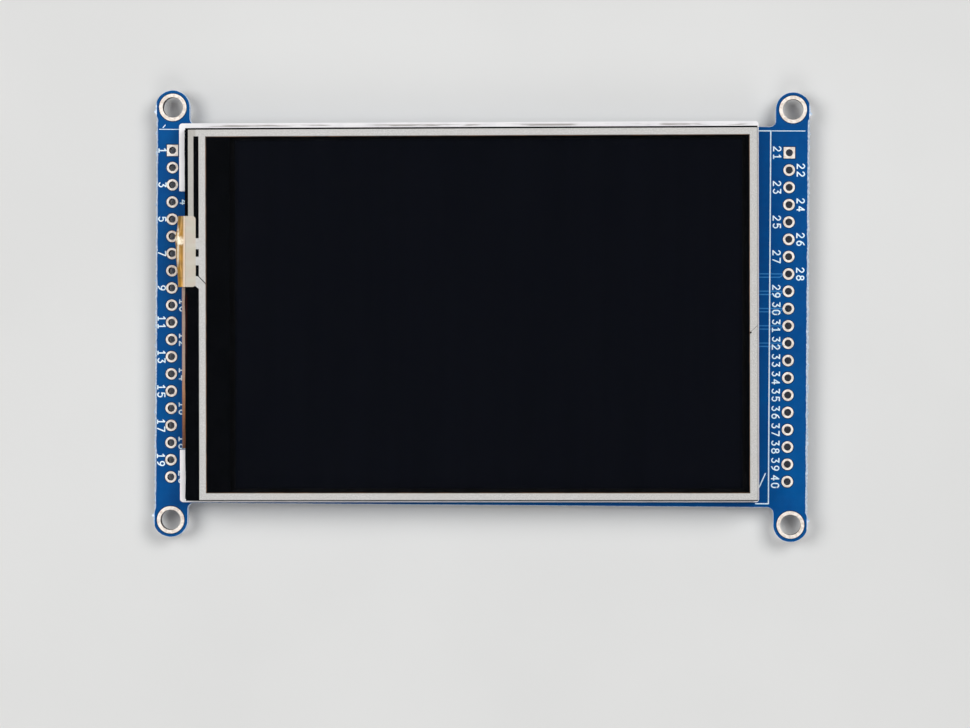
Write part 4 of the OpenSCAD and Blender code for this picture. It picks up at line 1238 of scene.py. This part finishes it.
    def front_marks(self) -> None:
        """Printed lines and plain pin numbers on the front."""
        ink = Strokes(0.016)
        for points, pen in (
                ([(42.47, -27.35), (42.47, 27.33), (40.6, 27.33)], 0.17),
                ([(42.47, 27.33), (47.5, 27.33)], 0.11), ([(40.6, -27.4), (42.47, -27.4)], 0.17),
                ([(42.0, -22.97), (41.1, -25.0)], 0.17), ([(-47.7, 27.24), (-43.6, 27.24)], 0.1),
                ([(-47.16, 27.47), (-46.82, 27.87)], 0.13)):
            ink.add(points, pen)
        digits = Numerals(1.06, 0.18, 1.14)
        down, right = (0.0, -1.0), (1.0, 0.0)
        for i in range(self.pins):
            y = self.pin_y(i)
            digits.write(ink, i + 1, (self.left_numbers[i % 2], y), down, right)
            inner = i not in (1, 3, 5, 7)
            digits.write(ink, i + 1 + self.pins, (self.right_numbers[inner], y), down, right)
        piece("front_marks", ink.shape(self.z[Face.FRONT]), ["silk"])

    def dress(self) -> None:
        """Finishes the plated holes and pads."""
        dress("plated_pads", 0.045, "mount_hole_plating", segments=3)
        dress("plated_pads", 0.045, "header_pads_left", "header_pads_right")
        dress("plated_pads", 0.04, "jumper_pads")

    def build(self) -> None:
        """Makes and dresses everything of the board's."""
        self.milled_board()
        self.mask_details()
        self.front_tracks()
        self.front_marks()
        self.dress()


# ---------------------------------------------------------------- display panel and touch sheet


@dataclass
class PanelFrame:
    """Where the display panel sits: it was stuck down a little turned.

    Attributes:
        centre: Middle of the panel on the board.
        turn: Its turn, in degrees.
    """

    centre: Point = (-1.66, 0.45)
    turn: float = 0.45

    def matrix(self) -> Matrix:
        """From the panel's own millimetres to its place, in metres.

        Returns:
            The matrix of turn, place and scale.
        """
        spin = Matrix.Rotation(math.radians(self.turn), 4, "Z")
        place = Matrix.Translation((self.centre[0] * MM, self.centre[1] * MM, 0)) @ spin
        return place @ Matrix.Scale(MM, 4)

    def seat(self, shape: bmesh.types.BMesh) -> None:
        """Moves a mesh made in the panel's own millimetres to its place."""
        bmesh.ops.transform(shape, matrix=self.matrix(), verts=shape.verts)

    def seat_metres(self, shape: bmesh.types.BMesh) -> None:
        """Moves a mesh made in metres on the panel to its place."""
        bmesh.ops.scale(shape, vec=(1 / MM,) * 3, verts=shape.verts)
        self.seat(shape)

    def unseat(self, shape: bmesh.types.BMesh) -> None:
        """Moves a mesh from its place back into the panel's own millimetres."""
        bmesh.ops.transform(shape, matrix=self.matrix().inverted(), verts=shape.verts)


@dataclass
class TouchSheet:
    """The resistive touch sheet: glass, printed border, silver bands, clear film and gasket.

    Attributes:
        x: Its left and right edges in the panel's frame.
        y: Its lower and upper edges.
        corner: Radius of its corners.
        ring: Outer edges of the silver ring: left, right, lower, upper.
        band: Width of the silver band.
        right_band: Width of its right side.
        lift: Gap kept between clear sheets and what lies on them.
        tape: How far the tape, with its painted shadow, stands out on the left.
        varnish_line: Width of the varnish's lines.
    """

    x: Point = (-41.46, 42.33)
    y: Point = (-27.595, 27.085)
    corner: float = 0.35
    ring: tuple[float, float, float, float] = (-39.48, 42.3, -27.465, 26.845)
    band: float = 0.97
    right_band: float = 1.09
    lift: float = 0.006
    tape: float = 0.22
    varnish_line: float = 0.1
    frame: PanelFrame = field(default_factory=PanelFrame)

    def clear_sheet(self, name: str, node: str, inset: float) -> None:
        """Makes a clear sheet with rounded corners and softened edges.

        Args:
            name: Name of the piece.
            node: The node that it stands for, which is also its finish's name.
            inset: How far its outline stays inside the node's.
        """
        low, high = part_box(node)
        shape = bmesh.new()
        x0, x1, y0, y1 = self.x[0] + inset, self.x[1] - inset, self.y[0] + inset, self.y[1] - inset
        made = bmesh.ops.create_cube(shape, size=1.0)["verts"]
        z0, z1 = low.z / MM + self.lift, high.z / MM - (0.0 if node == "touch_film" else self.lift)
        for vert in made:
            vert.co = (x1 if vert.co.x > 0 else x0, y1 if vert.co.y > 0 else y0,
                       z1 if vert.co.z > 0 else z0)
        upright = [e for e in shape.edges if abs(e.verts[0].co.z - e.verts[1].co.z) > 0.01]
        bmesh.ops.bevel(shape, geom=upright, offset=self.corner, offset_type="OFFSET", segments=6,
                        profile=0.5, affect="EDGES", material=-1)
        level = [e for e in shape.edges if abs(e.verts[0].co.z - e.verts[1].co.z) < 0.01
                 and len({round(f.normal.z, 1) for f in e.link_faces}) > 1]
        bmesh.ops.bevel(shape, geom=level, offset=min(0.05, (z1 - z0) / 4), offset_type="OFFSET",
                        segments=2, profile=0.5, affect="EDGES", material=-1)
        bmesh.ops.recalc_face_normals(shape, faces=shape.faces)
        self.frame.seat(shape)
        piece(name, shape, [node], replaces=[node])

    def tape_edge(self) -> None:
        """Edge of the black tape out beyond the sheet's left side: partly tape, partly painted shadow.
        """
        low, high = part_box("touch_gasket")
        bottom, top = low.z / MM + 0.05, high.z / MM - 0.01
        shape = bmesh.new()
        bmesh.ops.create_cube(shape, size=1.0)
        bmesh.ops.subdivide_edges(shape, edges=[e for e in shape.edges if abs(
            e.verts[0].co.y - e.verts[1].co.y) > 0.5], cuts=90, use_grid_fill=True)
        middle, length = (self.y[0] + self.y[1]) / 2, self.y[1] - self.y[0] - 0.5
        for vert in shape.verts:
            outer = vert.co.x < 0
            y = middle + vert.co.y * length
            drift = 0.07 * noise.noise(Vector((0.0, y * 0.35, 2.0))) if outer else 0.0
            vert.co = (self.x[0] - (self.tape if outer else -0.15) + drift, y,
                       top if vert.co.z > 0 else bottom)
        self.frame.seat(shape)
        piece("tape_edge", shape, ["black_tape"])

    def varnish(self) -> None:
        """Thin brown line of varnish inside the silver ring, just above the border's print."""
        shape = bmesh.new()
        z = foot("touch_film")
        left, right, lower, upper = self.ring
        x0, x1 = left + self.band, right - self.right_band
        y0, y1 = lower + self.band, upper - self.band
        line = self.varnish_line
        for cx, cy, w, h in (((x0 + x1) / 2, y1 - line / 2, x1 - x0, line),
                             ((x0 + x1) / 2, y0 + line / 2, x1 - x0, line),
                             (x0 + 0.6 * line, (y0 + y1) / 2, 1.2 * line, y1 - y0),
                             (x1 - line / 2, (y0 + y1) / 2, line, y1 - y0)):
            mound(shape, (cx, cy, z), (w, h, 0.004), (1, 1))
        self.frame.seat_metres(shape)
        piece("band_varnish", shape, ["film_varnish"])

    def nick(self) -> None:
        """The small dark nick in the right band, with a scratch that runs from it."""
        shape = bmesh.new()
        z = foot("touch_film")
        x = self.ring[1] - self.right_band
        mound(shape, (x + 0.05, -3.05, z), (0.34, 0.26, 0.004), (0.8, 0.7), 20)
        mound(shape, (x + 0.62, -2.45, z), (1.25, 0.05, 0.003), (0.9, 0.6), 42)
        self.frame.seat_metres(shape)
        piece("band_nick", shape, ["solid_black"])

    def build(self) -> None:
        """Makes the clear sheets and dresses the rest."""
        self.clear_sheet("touch_film_sheet", "touch_film", 0.0)
        self.clear_sheet("touch_glass_plate", "touch_glass", 0.02)
        self.tape_edge()
        self.varnish()
        self.nick()
        dress("black_tape", 0.03, "touch_gasket")
        dress("spacer_ink", 0.0, "touch_spacer")
        dress("printed_silver", 0.0, "silver_bands")


@dataclass
class DisplayPanel:
    """The backlit panel: its frame, the sheets inside it, the glasses and both flexes.

    Attributes:
        frame_edge: Width of the frame's softened edges.
        bulge: How far the touch flex stands out past the sheet.
        outside: Place along X, in the panel's frame, outside which the flex bulges.
        rise: Width over which the bulge comes up.
        slices: Slices along the bulge.
        fullness: Share of that along Y: places and shares.
        place: Where the panel sits.
    """

    frame_edge: float = 0.14
    bulge: float = 0.63
    outside: float = -41.61
    rise: float = 0.8
    slices: int = 48
    fullness: tuple[Point, ...] = ((3.8, 0.2), (4.6, 0.24), (5.9, 0.36), (6.8, 0.5), (7.8, 0.63),
                                   (9.5, 0.7), (10.4, 0.86), (10.95, 0.95), (11.5, 0.76),
                                   (12.0, 0.52), (12.8, 0.32), (14.2, 0.2))
    place: PanelFrame = field(default_factory=PanelFrame)

    def full(self, y: float) -> float:
        """Share of the bulge at a place along Y.

        Args:
            y: The place, in the panel's own millimetres.

        Returns:
            The share, from 0 to 1.
        """
        for (y0, share0), (y1, share1) in zip(self.fullness, self.fullness[1:]):
            if y <= y1:
                t = max(0.0, min(1.0, (y - y0) / (y1 - y0)))
                return share0 + (share1 - share0) * t * t * (3 - 2 * t)
        return self.fullness[-1][1]

    def bulged_tail(self) -> None:
        """Copies the touch flex and gives it its soft, uneven bulge past the frame."""
        shape = copied("touch_flex")
        self.place.unseat(shape)
        low, high = self.fullness[0][0], self.fullness[-1][0]
        for i in range(1, self.slices):
            bmesh.ops.bisect_plane(shape, geom=[*shape.verts, *shape.edges, *shape.faces],
                                   dist=1e-7, plane_no=(0, 1, 0),
                                   plane_co=(0, low + (high - low) * i / self.slices, 0))
        for vert in shape.verts:
            share = max(0.0, min(1.0, (self.outside - vert.co.x) / self.rise))
            ripple = 0.035 * noise.noise(Vector((vert.co.y * 1.3, vert.co.z * 0.8, 0.0)))
            vert.co.x += share * ((1 - self.full(vert.co.y)) * self.bulge + abs(ripple))
        bmesh.ops.recalc_face_normals(shape, faces=shape.faces)
        self.place.seat(shape)
        piece("touch_flex_tail", shape, ["touch_flex"], replaces=["touch_flex"])

    def build(self) -> None:
        """Dresses the panel's nodes."""
        dress("frame_white", self.frame_edge, "panel_frame", segments=3)
        for slot, edge, *nodes in (
                ("white_foam", 0.05, "foam_tape"), ("reflector", 0.0, "reflector_film"),
                ("light_guide", 0.04, "light_guide"), ("diffuser_film", 0.0, "diffuser_sheet"),
                ("prism_film", 0.0, "prism_film_lower", "prism_film_upper"),
                ("black_tape", 0.0, "rim_tape"), ("white_flex", 0.0, "led_flex"),
                ("led_package", 0.06, "backlight_leds"),
                ("polariser", 0.0, "rear_polariser", "front_polariser"),
                ("panel_glass", 0.05, "tft_glass", "colour_filter_glass"),
                ("driver_silicon", 0.02, "driver_chip"), ("amber_flex", 0.0, "display_flex"),
                ("stiffener_blue", 0.03, "flex_stiffener")):
            dress(slot, edge, *nodes)
        self.bulged_tail()


# ---------------------------------------------------------------- back of the board


@dataclass
class BackCircuit:
    """The sockets, chips and small parts on the back, with their solder, tracks and marks.

    Attributes:
        chips: Place of the two logic chips.
        chip_leads: Leads on one side of a chip.
        lead_pitch: Pitch of those leads.
        lead_row: Distance of a row of leads from the chip's middle.
        lead_end: Where the tracks leave the chips' leads, along X.
        regulator, inductor, diode: Middles of these parts.
        driver, switches: Middles of the three small chips.
        tantalums: Middles of the tantalum capacitors, one along Y and one along X.
        flex_y: Middle of the flex socket along Y.
        flex_leads: Leads of the flex socket.
        flex_pitch: Pitch of those leads.
        card_x: Middle of the card socket along X.
        card_lead: Place of its first contact along X.
        card_leads: Its contacts.
        card_pitch: Pitch of those contacts.
        card_travel: How far the card slider goes in; not used.
        pin_end: Where the tracks meet the right column of pins, along X.
        fine: Width of a fine track.
        capacitors: Places and turns of the ceramic capacitors.
        resistors: Places and turns of the resistors.
        seed: Seed of the scattered vias.
    """

    board: CarrierBoard
    chips: tuple[Point, Point] = ((23.26, 9.0), (23.26, -3.0))
    chip_leads: int = 10
    lead_pitch: float = 0.65
    lead_row: float = 2.75
    lead_end: float = 26.2
    regulator: Point = (-13.0, 18.94)
    inductor: Point = (33.76, 21.44)
    diode: Point = (39.76, 21.44)
    driver: Point = (27.26, 21.44)
    switches: tuple[Point, Point] = ((-2.0, 20.94), (33.26, 2.0))
    tantalums: tuple[Point, Point] = ((-21.5, 18.94), (35.26, -20.94))
    flex_y: float = -2.85
    flex_leads: int = 50
    flex_pitch: float = 0.5
    card_x: float = 6.0
    card_lead: float = 1.55
    card_leads: int = 8
    card_pitch: float = 1.1
    card_travel: float = 1.5
    pin_end: float = 44.6
    fine: float = 0.19
    capacitors: tuple[tuple[float, float, float], ...] = (
        (-17.3, 12.94, 0), (-8.8, 12.94, 0), (-2, 16.94, 0), (27.26, 17.44, 0), (39.76, 16.94, 90),
        (29.06, 10.5, 90), (29.06, -1.5, 90), (-4.5, -15.94, 90), (-4.5, -20.94, 90),
        (35.26, -15.94, 0))
    resistors: tuple[tuple[float, float, float], ...] = (
        (-2, 24.44, 0), (2.5, 20.94, 90), (37.26, 2, 90), (33.26, -1.5, 0), (33.26, 5.5, 0),
        (17.76, 12, 90), (17.76, 9, 90), (17.76, 6, 90), (17.76, 0, 90), (17.76, -3, 90),
        (17.76, -6, 90), (15.5, -14.94, 90))
    seed: int = 5

    def small_parts(self) -> list[tuple[float, float, float, bool]]:
        """Place and turn of each capacitor and resistor, and True for a capacitor."""
        return [(*p, p in self.capacitors) for p in self.capacitors + self.resistors]

    def lead_y(self, chip: int, index: int) -> float:
        """Place of a chip's lead along Y, from the lowest up."""
        return self.chips[chip][1] + (index - (self.chip_leads - 1) / 2) * self.lead_pitch

    def joints(self) -> None:
        """Solder at every lead, end, tab and tail."""
        shape = bmesh.new()
        z = self.board.z[Face.BACK]

        def joint(x: float, y: float, size: Point, height: float, turn: float = 0.0,
                  top: Point = (0.72, 0.8), slide: float = 0.0) -> None:
            """Adds one joint."""
            mound(shape, (x, y, z), (*size, -height), top, turn, slide)

        for x, y, turn, big in self.small_parts():
            half, wide, tall = (1.0, 1.25, 0.55) if big else (0.8, 0.8, 0.3)
            for s in (-1, 1):
                a = math.radians(turn)
                spot = (x + s * half * math.cos(a), y + s * half * math.sin(a))
                joint(*spot, (0.9, wide + 0.25), tall, turn, (0.34, 0.8), -s * 0.2)
        for chip, (cx, _) in enumerate(self.chips):
            for s in (-1, 1):
                for i in range(self.chip_leads):
                    joint(cx + s * self.lead_row, self.lead_y(chip, i), (1.15, 0.36), 0.1)
        (reg_x, reg_y), (dri_x, dri_y) = self.regulator, self.driver
        (sa_x, sa_y), (sb_x, sb_y) = self.switches
        (ta_x, ta_y), (tb_x, tb_y) = self.tantalums
        for i in range(-1, 2):
            joint(reg_x - 2.95, reg_y + i * 2.3, (1.9, 1.0), 0.14)
            joint(dri_x + i * 0.95, dri_y - 1.15, (0.55, 0.75), 0.12)
        joint(reg_x + 2.95, reg_y, (1.9, 3.4), 0.16)
        for i in (-1, 1):
            joint(dri_x + i * 0.95, dri_y + 1.15, (0.55, 0.75), 0.12)
            joint(sa_x - 1.0, sa_y + i * 0.95, (0.75, 0.55), 0.12)
            joint(sb_x + i * 0.95, sb_y - 1.0, (0.55, 0.75), 0.12)
            joint(self.inductor[0] + i * 1.6, self.inductor[1], (1.5, 3.2), 0.13)
            joint(self.diode[0] + i * 1.75, self.diode[1], (0.9, 1.2), 0.14)
            joint(ta_x, ta_y + i * 1.8, (2.6, 1.3), 0.3, top=(0.85, 0.4))
            joint(tb_x + i * 1.8, tb_y, (1.3, 2.6), 0.3, top=(0.4, 0.85))
        joint(sa_x + 1.0, sa_y, (0.75, 0.55), 0.12)
        joint(sb_x, sb_y + 1.0, (0.55, 0.75), 0.12)
        for i in range(self.flex_leads):
            y = self.flex_y + (i - (self.flex_leads - 1) / 2) * self.flex_pitch
            joint(-28.42, y, (0.8, 0.3), 0.08)
        for s in (-1, 1):
            joint(-31.8, self.flex_y + s * 14.75, (2.2, 1.2), 0.2)
            for y in (-14.64, -25.76):
                joint(self.card_x + s * 7.45, y, (1.2, 1.5), 0.12)
        for i in range(self.card_leads):
            joint(self.card_lead + i * self.card_pitch, -12.89, (0.62, 0.9), 0.1)
        bmesh.ops.recalc_face_normals(shape, faces=shape.faces)
        made = piece("solder_joints", shape, ["solder"])
        soften(made, 0.04)

    def buses(self, lines: Strokes, vias: list[Point]) -> None:
        """Bundles of tracks between the flex socket, the chips and the pin columns.

        Args:
            lines: The tracks that these join.
            vias: The via places that these join.
        """
        for i in range(self.chip_leads):
            for chip, start in ((0, 4.65), (1, -9.6)):
                y0, y1 = start + self.flex_pitch * i, self.lead_y(chip, i)
                bend = (11.0 - 0.55 * i) if y1 > y0 else (4.0 + 0.55 * i)
                end, stub = (14.6, 19.3) if i % 2 else (15.5, 18.7)
                lines.add([(-28.2, y0), (bend, y0), (bend + abs(y1 - y0), y1), (end, y1)], self.fine)
                lines.add([(stub, y1), (20.4, y1)], self.fine)
                vias.extend([(end, y1), (stub, y1)])
        corner = 0.5
        for i in range(8):
            y0, y1 = self.lead_y(1, i), self.board.pin_y(19 - i)
            turn = 27.6 + 0.62 * i
            path = [(self.lead_end, y0), (turn - corner, y0), (turn, y0 - corner),
                    (turn, y1 + corner), (turn + corner, y1)]
            if i in (1, 2, 3):
                lines.add(path + [(32.6, y1)], self.fine)
                lines.add([(38.6, y1), (self.pin_end, y1)], self.fine)
                vias.extend([(32.6, y1), (38.6, y1)])
            else:
                lines.add(path + [(self.pin_end, y1)], self.fine)
        for i in range(8):
            y0, y1 = self.lead_y(0, i + 1), self.board.pin_y(11 - i)
            end, start = 27.7 if 9.3 < y0 < 11.8 else 28.0, 40.0 - 0.62 * abs(i - 3.5)
            lines.add([(self.lead_end, y0), (end, y0)], self.fine)
            lines.add([(start, y1), (self.pin_end, y1)], self.fine)
            vias.extend([(end, y0), (start, y1)])
        for i in range(self.board.pins):
            y, end = self.board.pin_y(i), -40.6 + 0.9 * (i % 3)
            lines.add([(-45.1, y), (end, y)], 0.22)
            vias.append((end, y))
        for i in range(self.card_leads):
            x, end = self.card_lead + self.card_pitch * i, -11.4 + 0.25 * (i % 2)
            lines.add([(x, -12.6), (x, end)], self.fine)
            vias.append((x, end))

    def power(self, lines: Strokes) -> None:
        """Wide tracks round the regulator, the inductor and the tantalum capacitors.

        Args:
            lines: The tracks that these join.
        """
        for points, width in (
                ([(-21.5, 20.9), (-21.5, 23.6), (-15.9, 23.6), (-15.9, 21.4)], 1.1),
                ([(-21.5, 17.0), (-21.5, 14.0), (-18.4, 12.94)], 0.9),
                ([(-10.1, 18.94), (-7.0, 18.94), (-7.0, 14.2), (-7.8, 12.94)], 1.1),
                ([(-7.0, 18.9), (-4.6, 21.9), (-3.2, 21.9)], 0.5),
                ([(-16.3, 12.94), (-9.8, 12.94)], 0.7),
                ([(-1.0, 20.94), (1.6, 20.94), (2.5, 20.2)], 0.35),
                ([(-2.8, 24.44), (-5.2, 24.44), (-7.0, 22.6), (-7.0, 19.0)], 0.4),
                ([(28.2, 20.3), (30.4, 20.9), (32.2, 21.44)], 1.0),
                ([(35.4, 21.44), (38.2, 21.44)], 1.2),
                ([(41.4, 21.44), (42.0, 19.6), (39.9, 18.0)], 0.9),
                ([(26.3, 20.2), (26.3, 17.5)], 0.5),
                ([(26.3, 22.6), (26.3, 24.6), (31.0, 24.6), (32.4, 23.2)], 0.6),
                ([(37.1, -20.94), (40.8, -20.94), (40.8, -16.9), (36.3, -15.94)], 0.9),
                ([(33.5, -20.94), (33.5, -15.94)], 0.8)):
            lines.add(points, width)

    def tracks(self) -> None:
        """Tracks and tented vias, each in the dark gap that parts it from the copper around."""
        lines = Strokes(0.01)
        gaps = Strokes(0.004)
        vias: list[Point] = []
        self.buses(lines, vias)
        self.power(lines)
        dice = random.Random(self.seed)
        for _ in range(46):
            vias.append((dice.uniform(-25, 40), dice.choice((26.4, 14.9, -12.9, -26.2))
                         + dice.uniform(-0.5, 0.5)))
        z = self.board.z[Face.BACK]
        vias = [v for v in vias if not (-2.5 < v[0] < 14.5 and v[1] < -12.7)]
        gaps.paths = lines.paths
        around = gaps.shape(z, 0.34)
        for spot in vias:
            disc(around, spot, z, (0.5, 0.49), -0.0055, 14)
        piece("track_gaps", around, ["mask_gap"])
        copper = lines.shape(z)
        for spot in vias:
            disc(copper, spot, z, (0.33, 0.22), -0.022, 14)
        piece("back_tracks", copper, ["mask_track"])
        ends = bmesh.new()
        for spot in vias:
            disc(ends, spot, z - 0.021, (0.11, 0.1), -0.003, 10)
        piece("via_dimples", ends, ["mask_gap"])

    def marks(self) -> None:
        """Printed outlines of the parts, dots at first leads and plain pin numbers."""
        ink = Strokes(0.016)
        for cx, cy in self.chips:
            ink.box((cx, cy), (4.0, 7.2), 0.15)
            ink.add(arc((cx - 2.75, cy + 3.75), (0.16, 0.16), 0, 360, 8), 0.3)
        for x, y, turn, big in self.small_parts():
            size = (3.4, 1.9) if big else (2.8, 1.4)
            ink.box((x, y), size if not turn else size[::-1], 0.13)
        for centre, size in ((self.regulator, (3.2, 7.1)), (self.inductor, (4.7, 4.7)),
                             (self.diode, (4.9, 2.3)), (self.tantalums[0], (3.3, 5.2)),
                             (self.tantalums[1], (5.2, 3.3)), (self.driver, (3.4, 1.0)),
                             ((-30.9, self.flex_y), (6.2, 31.6)), ((self.card_x, -20.5), (16.4, 14.0)),
                             ((-1.2, 2.0), (12.4, 4.4))):
            ink.box(centre, size, 0.15)
        digits = Numerals(1.2, 0.17, 0.98)
        left, up = (-1.0, 0.0), (0.0, 1.0)
        for i in range(self.board.pins):
            y = self.board.pin_y(i)
            digits.write(ink, i + 1, (self.board.columns[0] + 2.5, y), left, up)
            digits.write(ink, i + 1 + self.board.pins, (self.board.columns[1] - 2.35, y), left, up)
        for i in range(4):
            digits.write(ink, i, (-6 + 3.2 * i, 4.9), left, up)
        for number, y in ((1, 10.9), (self.flex_leads, -16.4)):
            digits.write(ink, number, (-26.6, y), left, up)
        piece("back_marks", ink.shape(self.board.z[Face.BACK]), ["silk"])

    def card_spring(self) -> None:
        """The card socket's spring, copied as a piece with a mesh of its own."""
        shape = copied("card_spring", WELD, False)
        coil = piece("card_spring_coil", shape, ["spring_wire"],
                     replaces=["card_spring"])
        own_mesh(coil)

    def polarity_bands(self) -> None:
        """Darker band at the positive end of each tantalum capacitor and a pale one on the diode."""
        (ta_x, ta_y), (tb_x, tb_y) = self.tantalums
        shape = bmesh.new()
        for x, y, turn in ((ta_x, ta_y + 1.15, 0), (tb_x + 1.15, tb_y, 90)):
            mound(shape, (x, y, 0.2), (2.5, 0.5, -0.012), (1, 1), turn)
        bmesh.ops.recalc_face_normals(shape, faces=shape.faces)
        piece("tantalum_bands", shape, ["polarity_band"])
        shape = bmesh.new()
        mound(shape, (40.75, self.diode[1], foot("diode_body")), (0.32, 1.5, -0.012), (1, 1))
        bmesh.ops.recalc_face_normals(shape, faces=shape.faces)
        piece("diode_band", shape, ["silk"])

    def build(self) -> None:
        """Dresses the nodes of the back and adds its details."""
        for slot, edge, *nodes in (
                ("socket_plastic", 0.04, "flex_socket_housing"),
                ("latch_plastic", 0.05, "flex_socket_latch"),
                ("latch_plastic", 0.03, "card_socket_base"),
                ("contact_metal", 0.0, "flex_socket_contacts", "card_contacts"),
                ("contact_metal", 0.01, "card_switch"), ("shell_steel", 0.03, "card_socket_shell"),
                ("slider_plastic", 0.03, "card_slider"), ("spring_wire", 0.0, "card_cam_wire"),
                ("chip_plastic", 0.03, "logic_chip_bodies", "small_chip_bodies", "diode_body"),
                ("chip_plastic", 0.04, "regulator_body"),
                ("tin_metal", 0.02, "logic_chip_leads", "small_chip_leads", "regulator_leads",
                 "coil_terminals", "diode_leads", "tantalum_leads"),
                ("tin_metal", 0.03, "flex_socket_anchors"), ("tin_metal", 0.04, "resistor_ends"),
                ("tin_metal", 0.06, "ceramic_capacitor_ends"), ("ferrite", 0.06, "coil_core"),
                ("copper_wire", 0.0, "coil_winding"), ("ferrite", 0.08, "coil_shield"),
                ("tantalum_yellow", 0.05, "tantalum_bodies"),
                ("ceramic_brown", 0.04, "ceramic_capacitor_bodies"),
                ("resistor_black", 0.03, "resistor_bodies")):
            dress(slot, edge, *nodes)
        self.card_spring()
        self.joints()
        self.tracks()
        self.marks()
        self.polarity_bands()


# ---------------------------------------------------------------- studio


@dataclass
class Studio:
    """A plain pale floor, soft lamps and the camera above the screen.

    Attributes:
        lens, sensor: Focal length and width of the sensor, in millimetres.
        tilt: The camera's small tilts about X, Y and Z, in degrees.
        offset: Where the camera looks, beside the middle of the board, in millimetres.
        distance: Height of the camera above the board's front, in millimetres.
        sky: Strength of the light from all round.
        floor_radius: Radius of the floor, in metres.
        floor_gap: How far the floor lies under the module, in metres.
        lamps: Name, place, size in metres and power of each lamp.
    """

    lens: float = 155.88
    sensor: float = 36.0
    tilt: tuple[float, float, float] = (0.479, -2.839, -0.363)
    offset: Point = (-0.648, 7.146)
    distance: float = 618.594
    sky: float = 0.24
    floor_radius: float = 6.0
    floor_gap: float = 0.00002
    lamps: tuple[tuple[str, tuple[float, float, float], float, float], ...] = (
        ("key_right", (0.42, 0.30, 0.78), 0.5, 4.0), ("fill_left", (-0.45, 0.12, 0.75), 0.5, 3.3),
        ("fill_near", (0.05, -0.55, 0.62), 0.5, 1.15))

    def camera(self) -> None:
        """The camera, nearly straight above."""
        turn_x, turn_y, turn_z = (Matrix.Rotation(math.radians(a), 3, axis)
                                  for a, axis in zip(self.tilt, "XYZ"))
        to_world = (turn_z @ turn_y @ turn_x).transposed()
        _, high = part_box("board")
        eye = to_world @ -Vector((*self.offset, -self.distance)) * MM + Vector((0, 0, high.z))
        data = bpy.data.cameras.new("camera")
        data.lens, data.sensor_width = self.lens, self.sensor
        data.clip_start, data.clip_end = 0.01, 20.0
        camera = bpy.data.objects.new("camera", data)
        camera.matrix_world = Matrix.Translation(eye) @ to_world.to_4x4()
        bpy.context.scene.collection.objects.link(camera)
        bpy.context.scene.camera = camera

    def floor(self) -> None:
        """A large pale floor that the module lies on."""
        shape = bmesh.new()
        bmesh.ops.create_circle(shape, cap_ends=True, segments=96, radius=self.floor_radius)
        bmesh.ops.translate(shape, vec=(0, 0, -self.floor_gap), verts=shape.verts)
        mesh = bpy.data.meshes.new("floor")
        shape.to_mesh(mesh)
        shape.free()
        mesh.materials.append(Finish("pale_floor", "dcdcdb", "d9d9d8", 60.0, (0.75, 0.85), 0.8, 0.01,
                                     gloss=0.2).material())
        floor = bpy.data.objects.new("floor", mesh)
        bpy.context.scene.collection.objects.link(floor)

    def lights(self) -> None:
        """Three large soft lamps and an even sky."""
        for name, place, size, power in self.lamps:
            data = bpy.data.lights.new(name, "AREA")
            data.shape, data.size, data.energy = "DISK", size, power
            lamp = bpy.data.objects.new(name, data)
            aim = (-Vector(place)).to_track_quat("-Z", "Y").to_matrix().to_4x4()
            lamp.matrix_world = Matrix.Translation(place) @ aim
            bpy.context.scene.collection.objects.link(lamp)
        world = bpy.data.worlds.new("studio")
        world.use_nodes = True
        backdrop = world.node_tree.nodes["Background"]
        backdrop.inputs["Color"].default_value = (1.0, 1.0, 1.0, 1.0)
        backdrop.inputs["Strength"].default_value = self.sky
        bpy.context.scene.world = world
        bpy.context.scene.view_settings.view_transform = "Standard"

    def build(self) -> None:
        """Sets up the studio."""
        self.camera()
        self.floor()
        self.lights()


def corners(box: tuple[Vector, Vector]) -> list[list[float]]:
    """A box as two plain lists."""
    return [[float(c) for c in corner] for corner in box]


def main() -> None:
    """Builds the studio and the sub-assemblies."""
    logging.basicConfig(level=logging.INFO, format="%(message)s")
    Studio().build()
    board = CarrierBoard()
    board.build()
    DisplayPanel().build()
    TouchSheet().build()
    BackCircuit(board).build()
    bpy.context.view_layer.update()


if __name__ == "__main__":
    main()
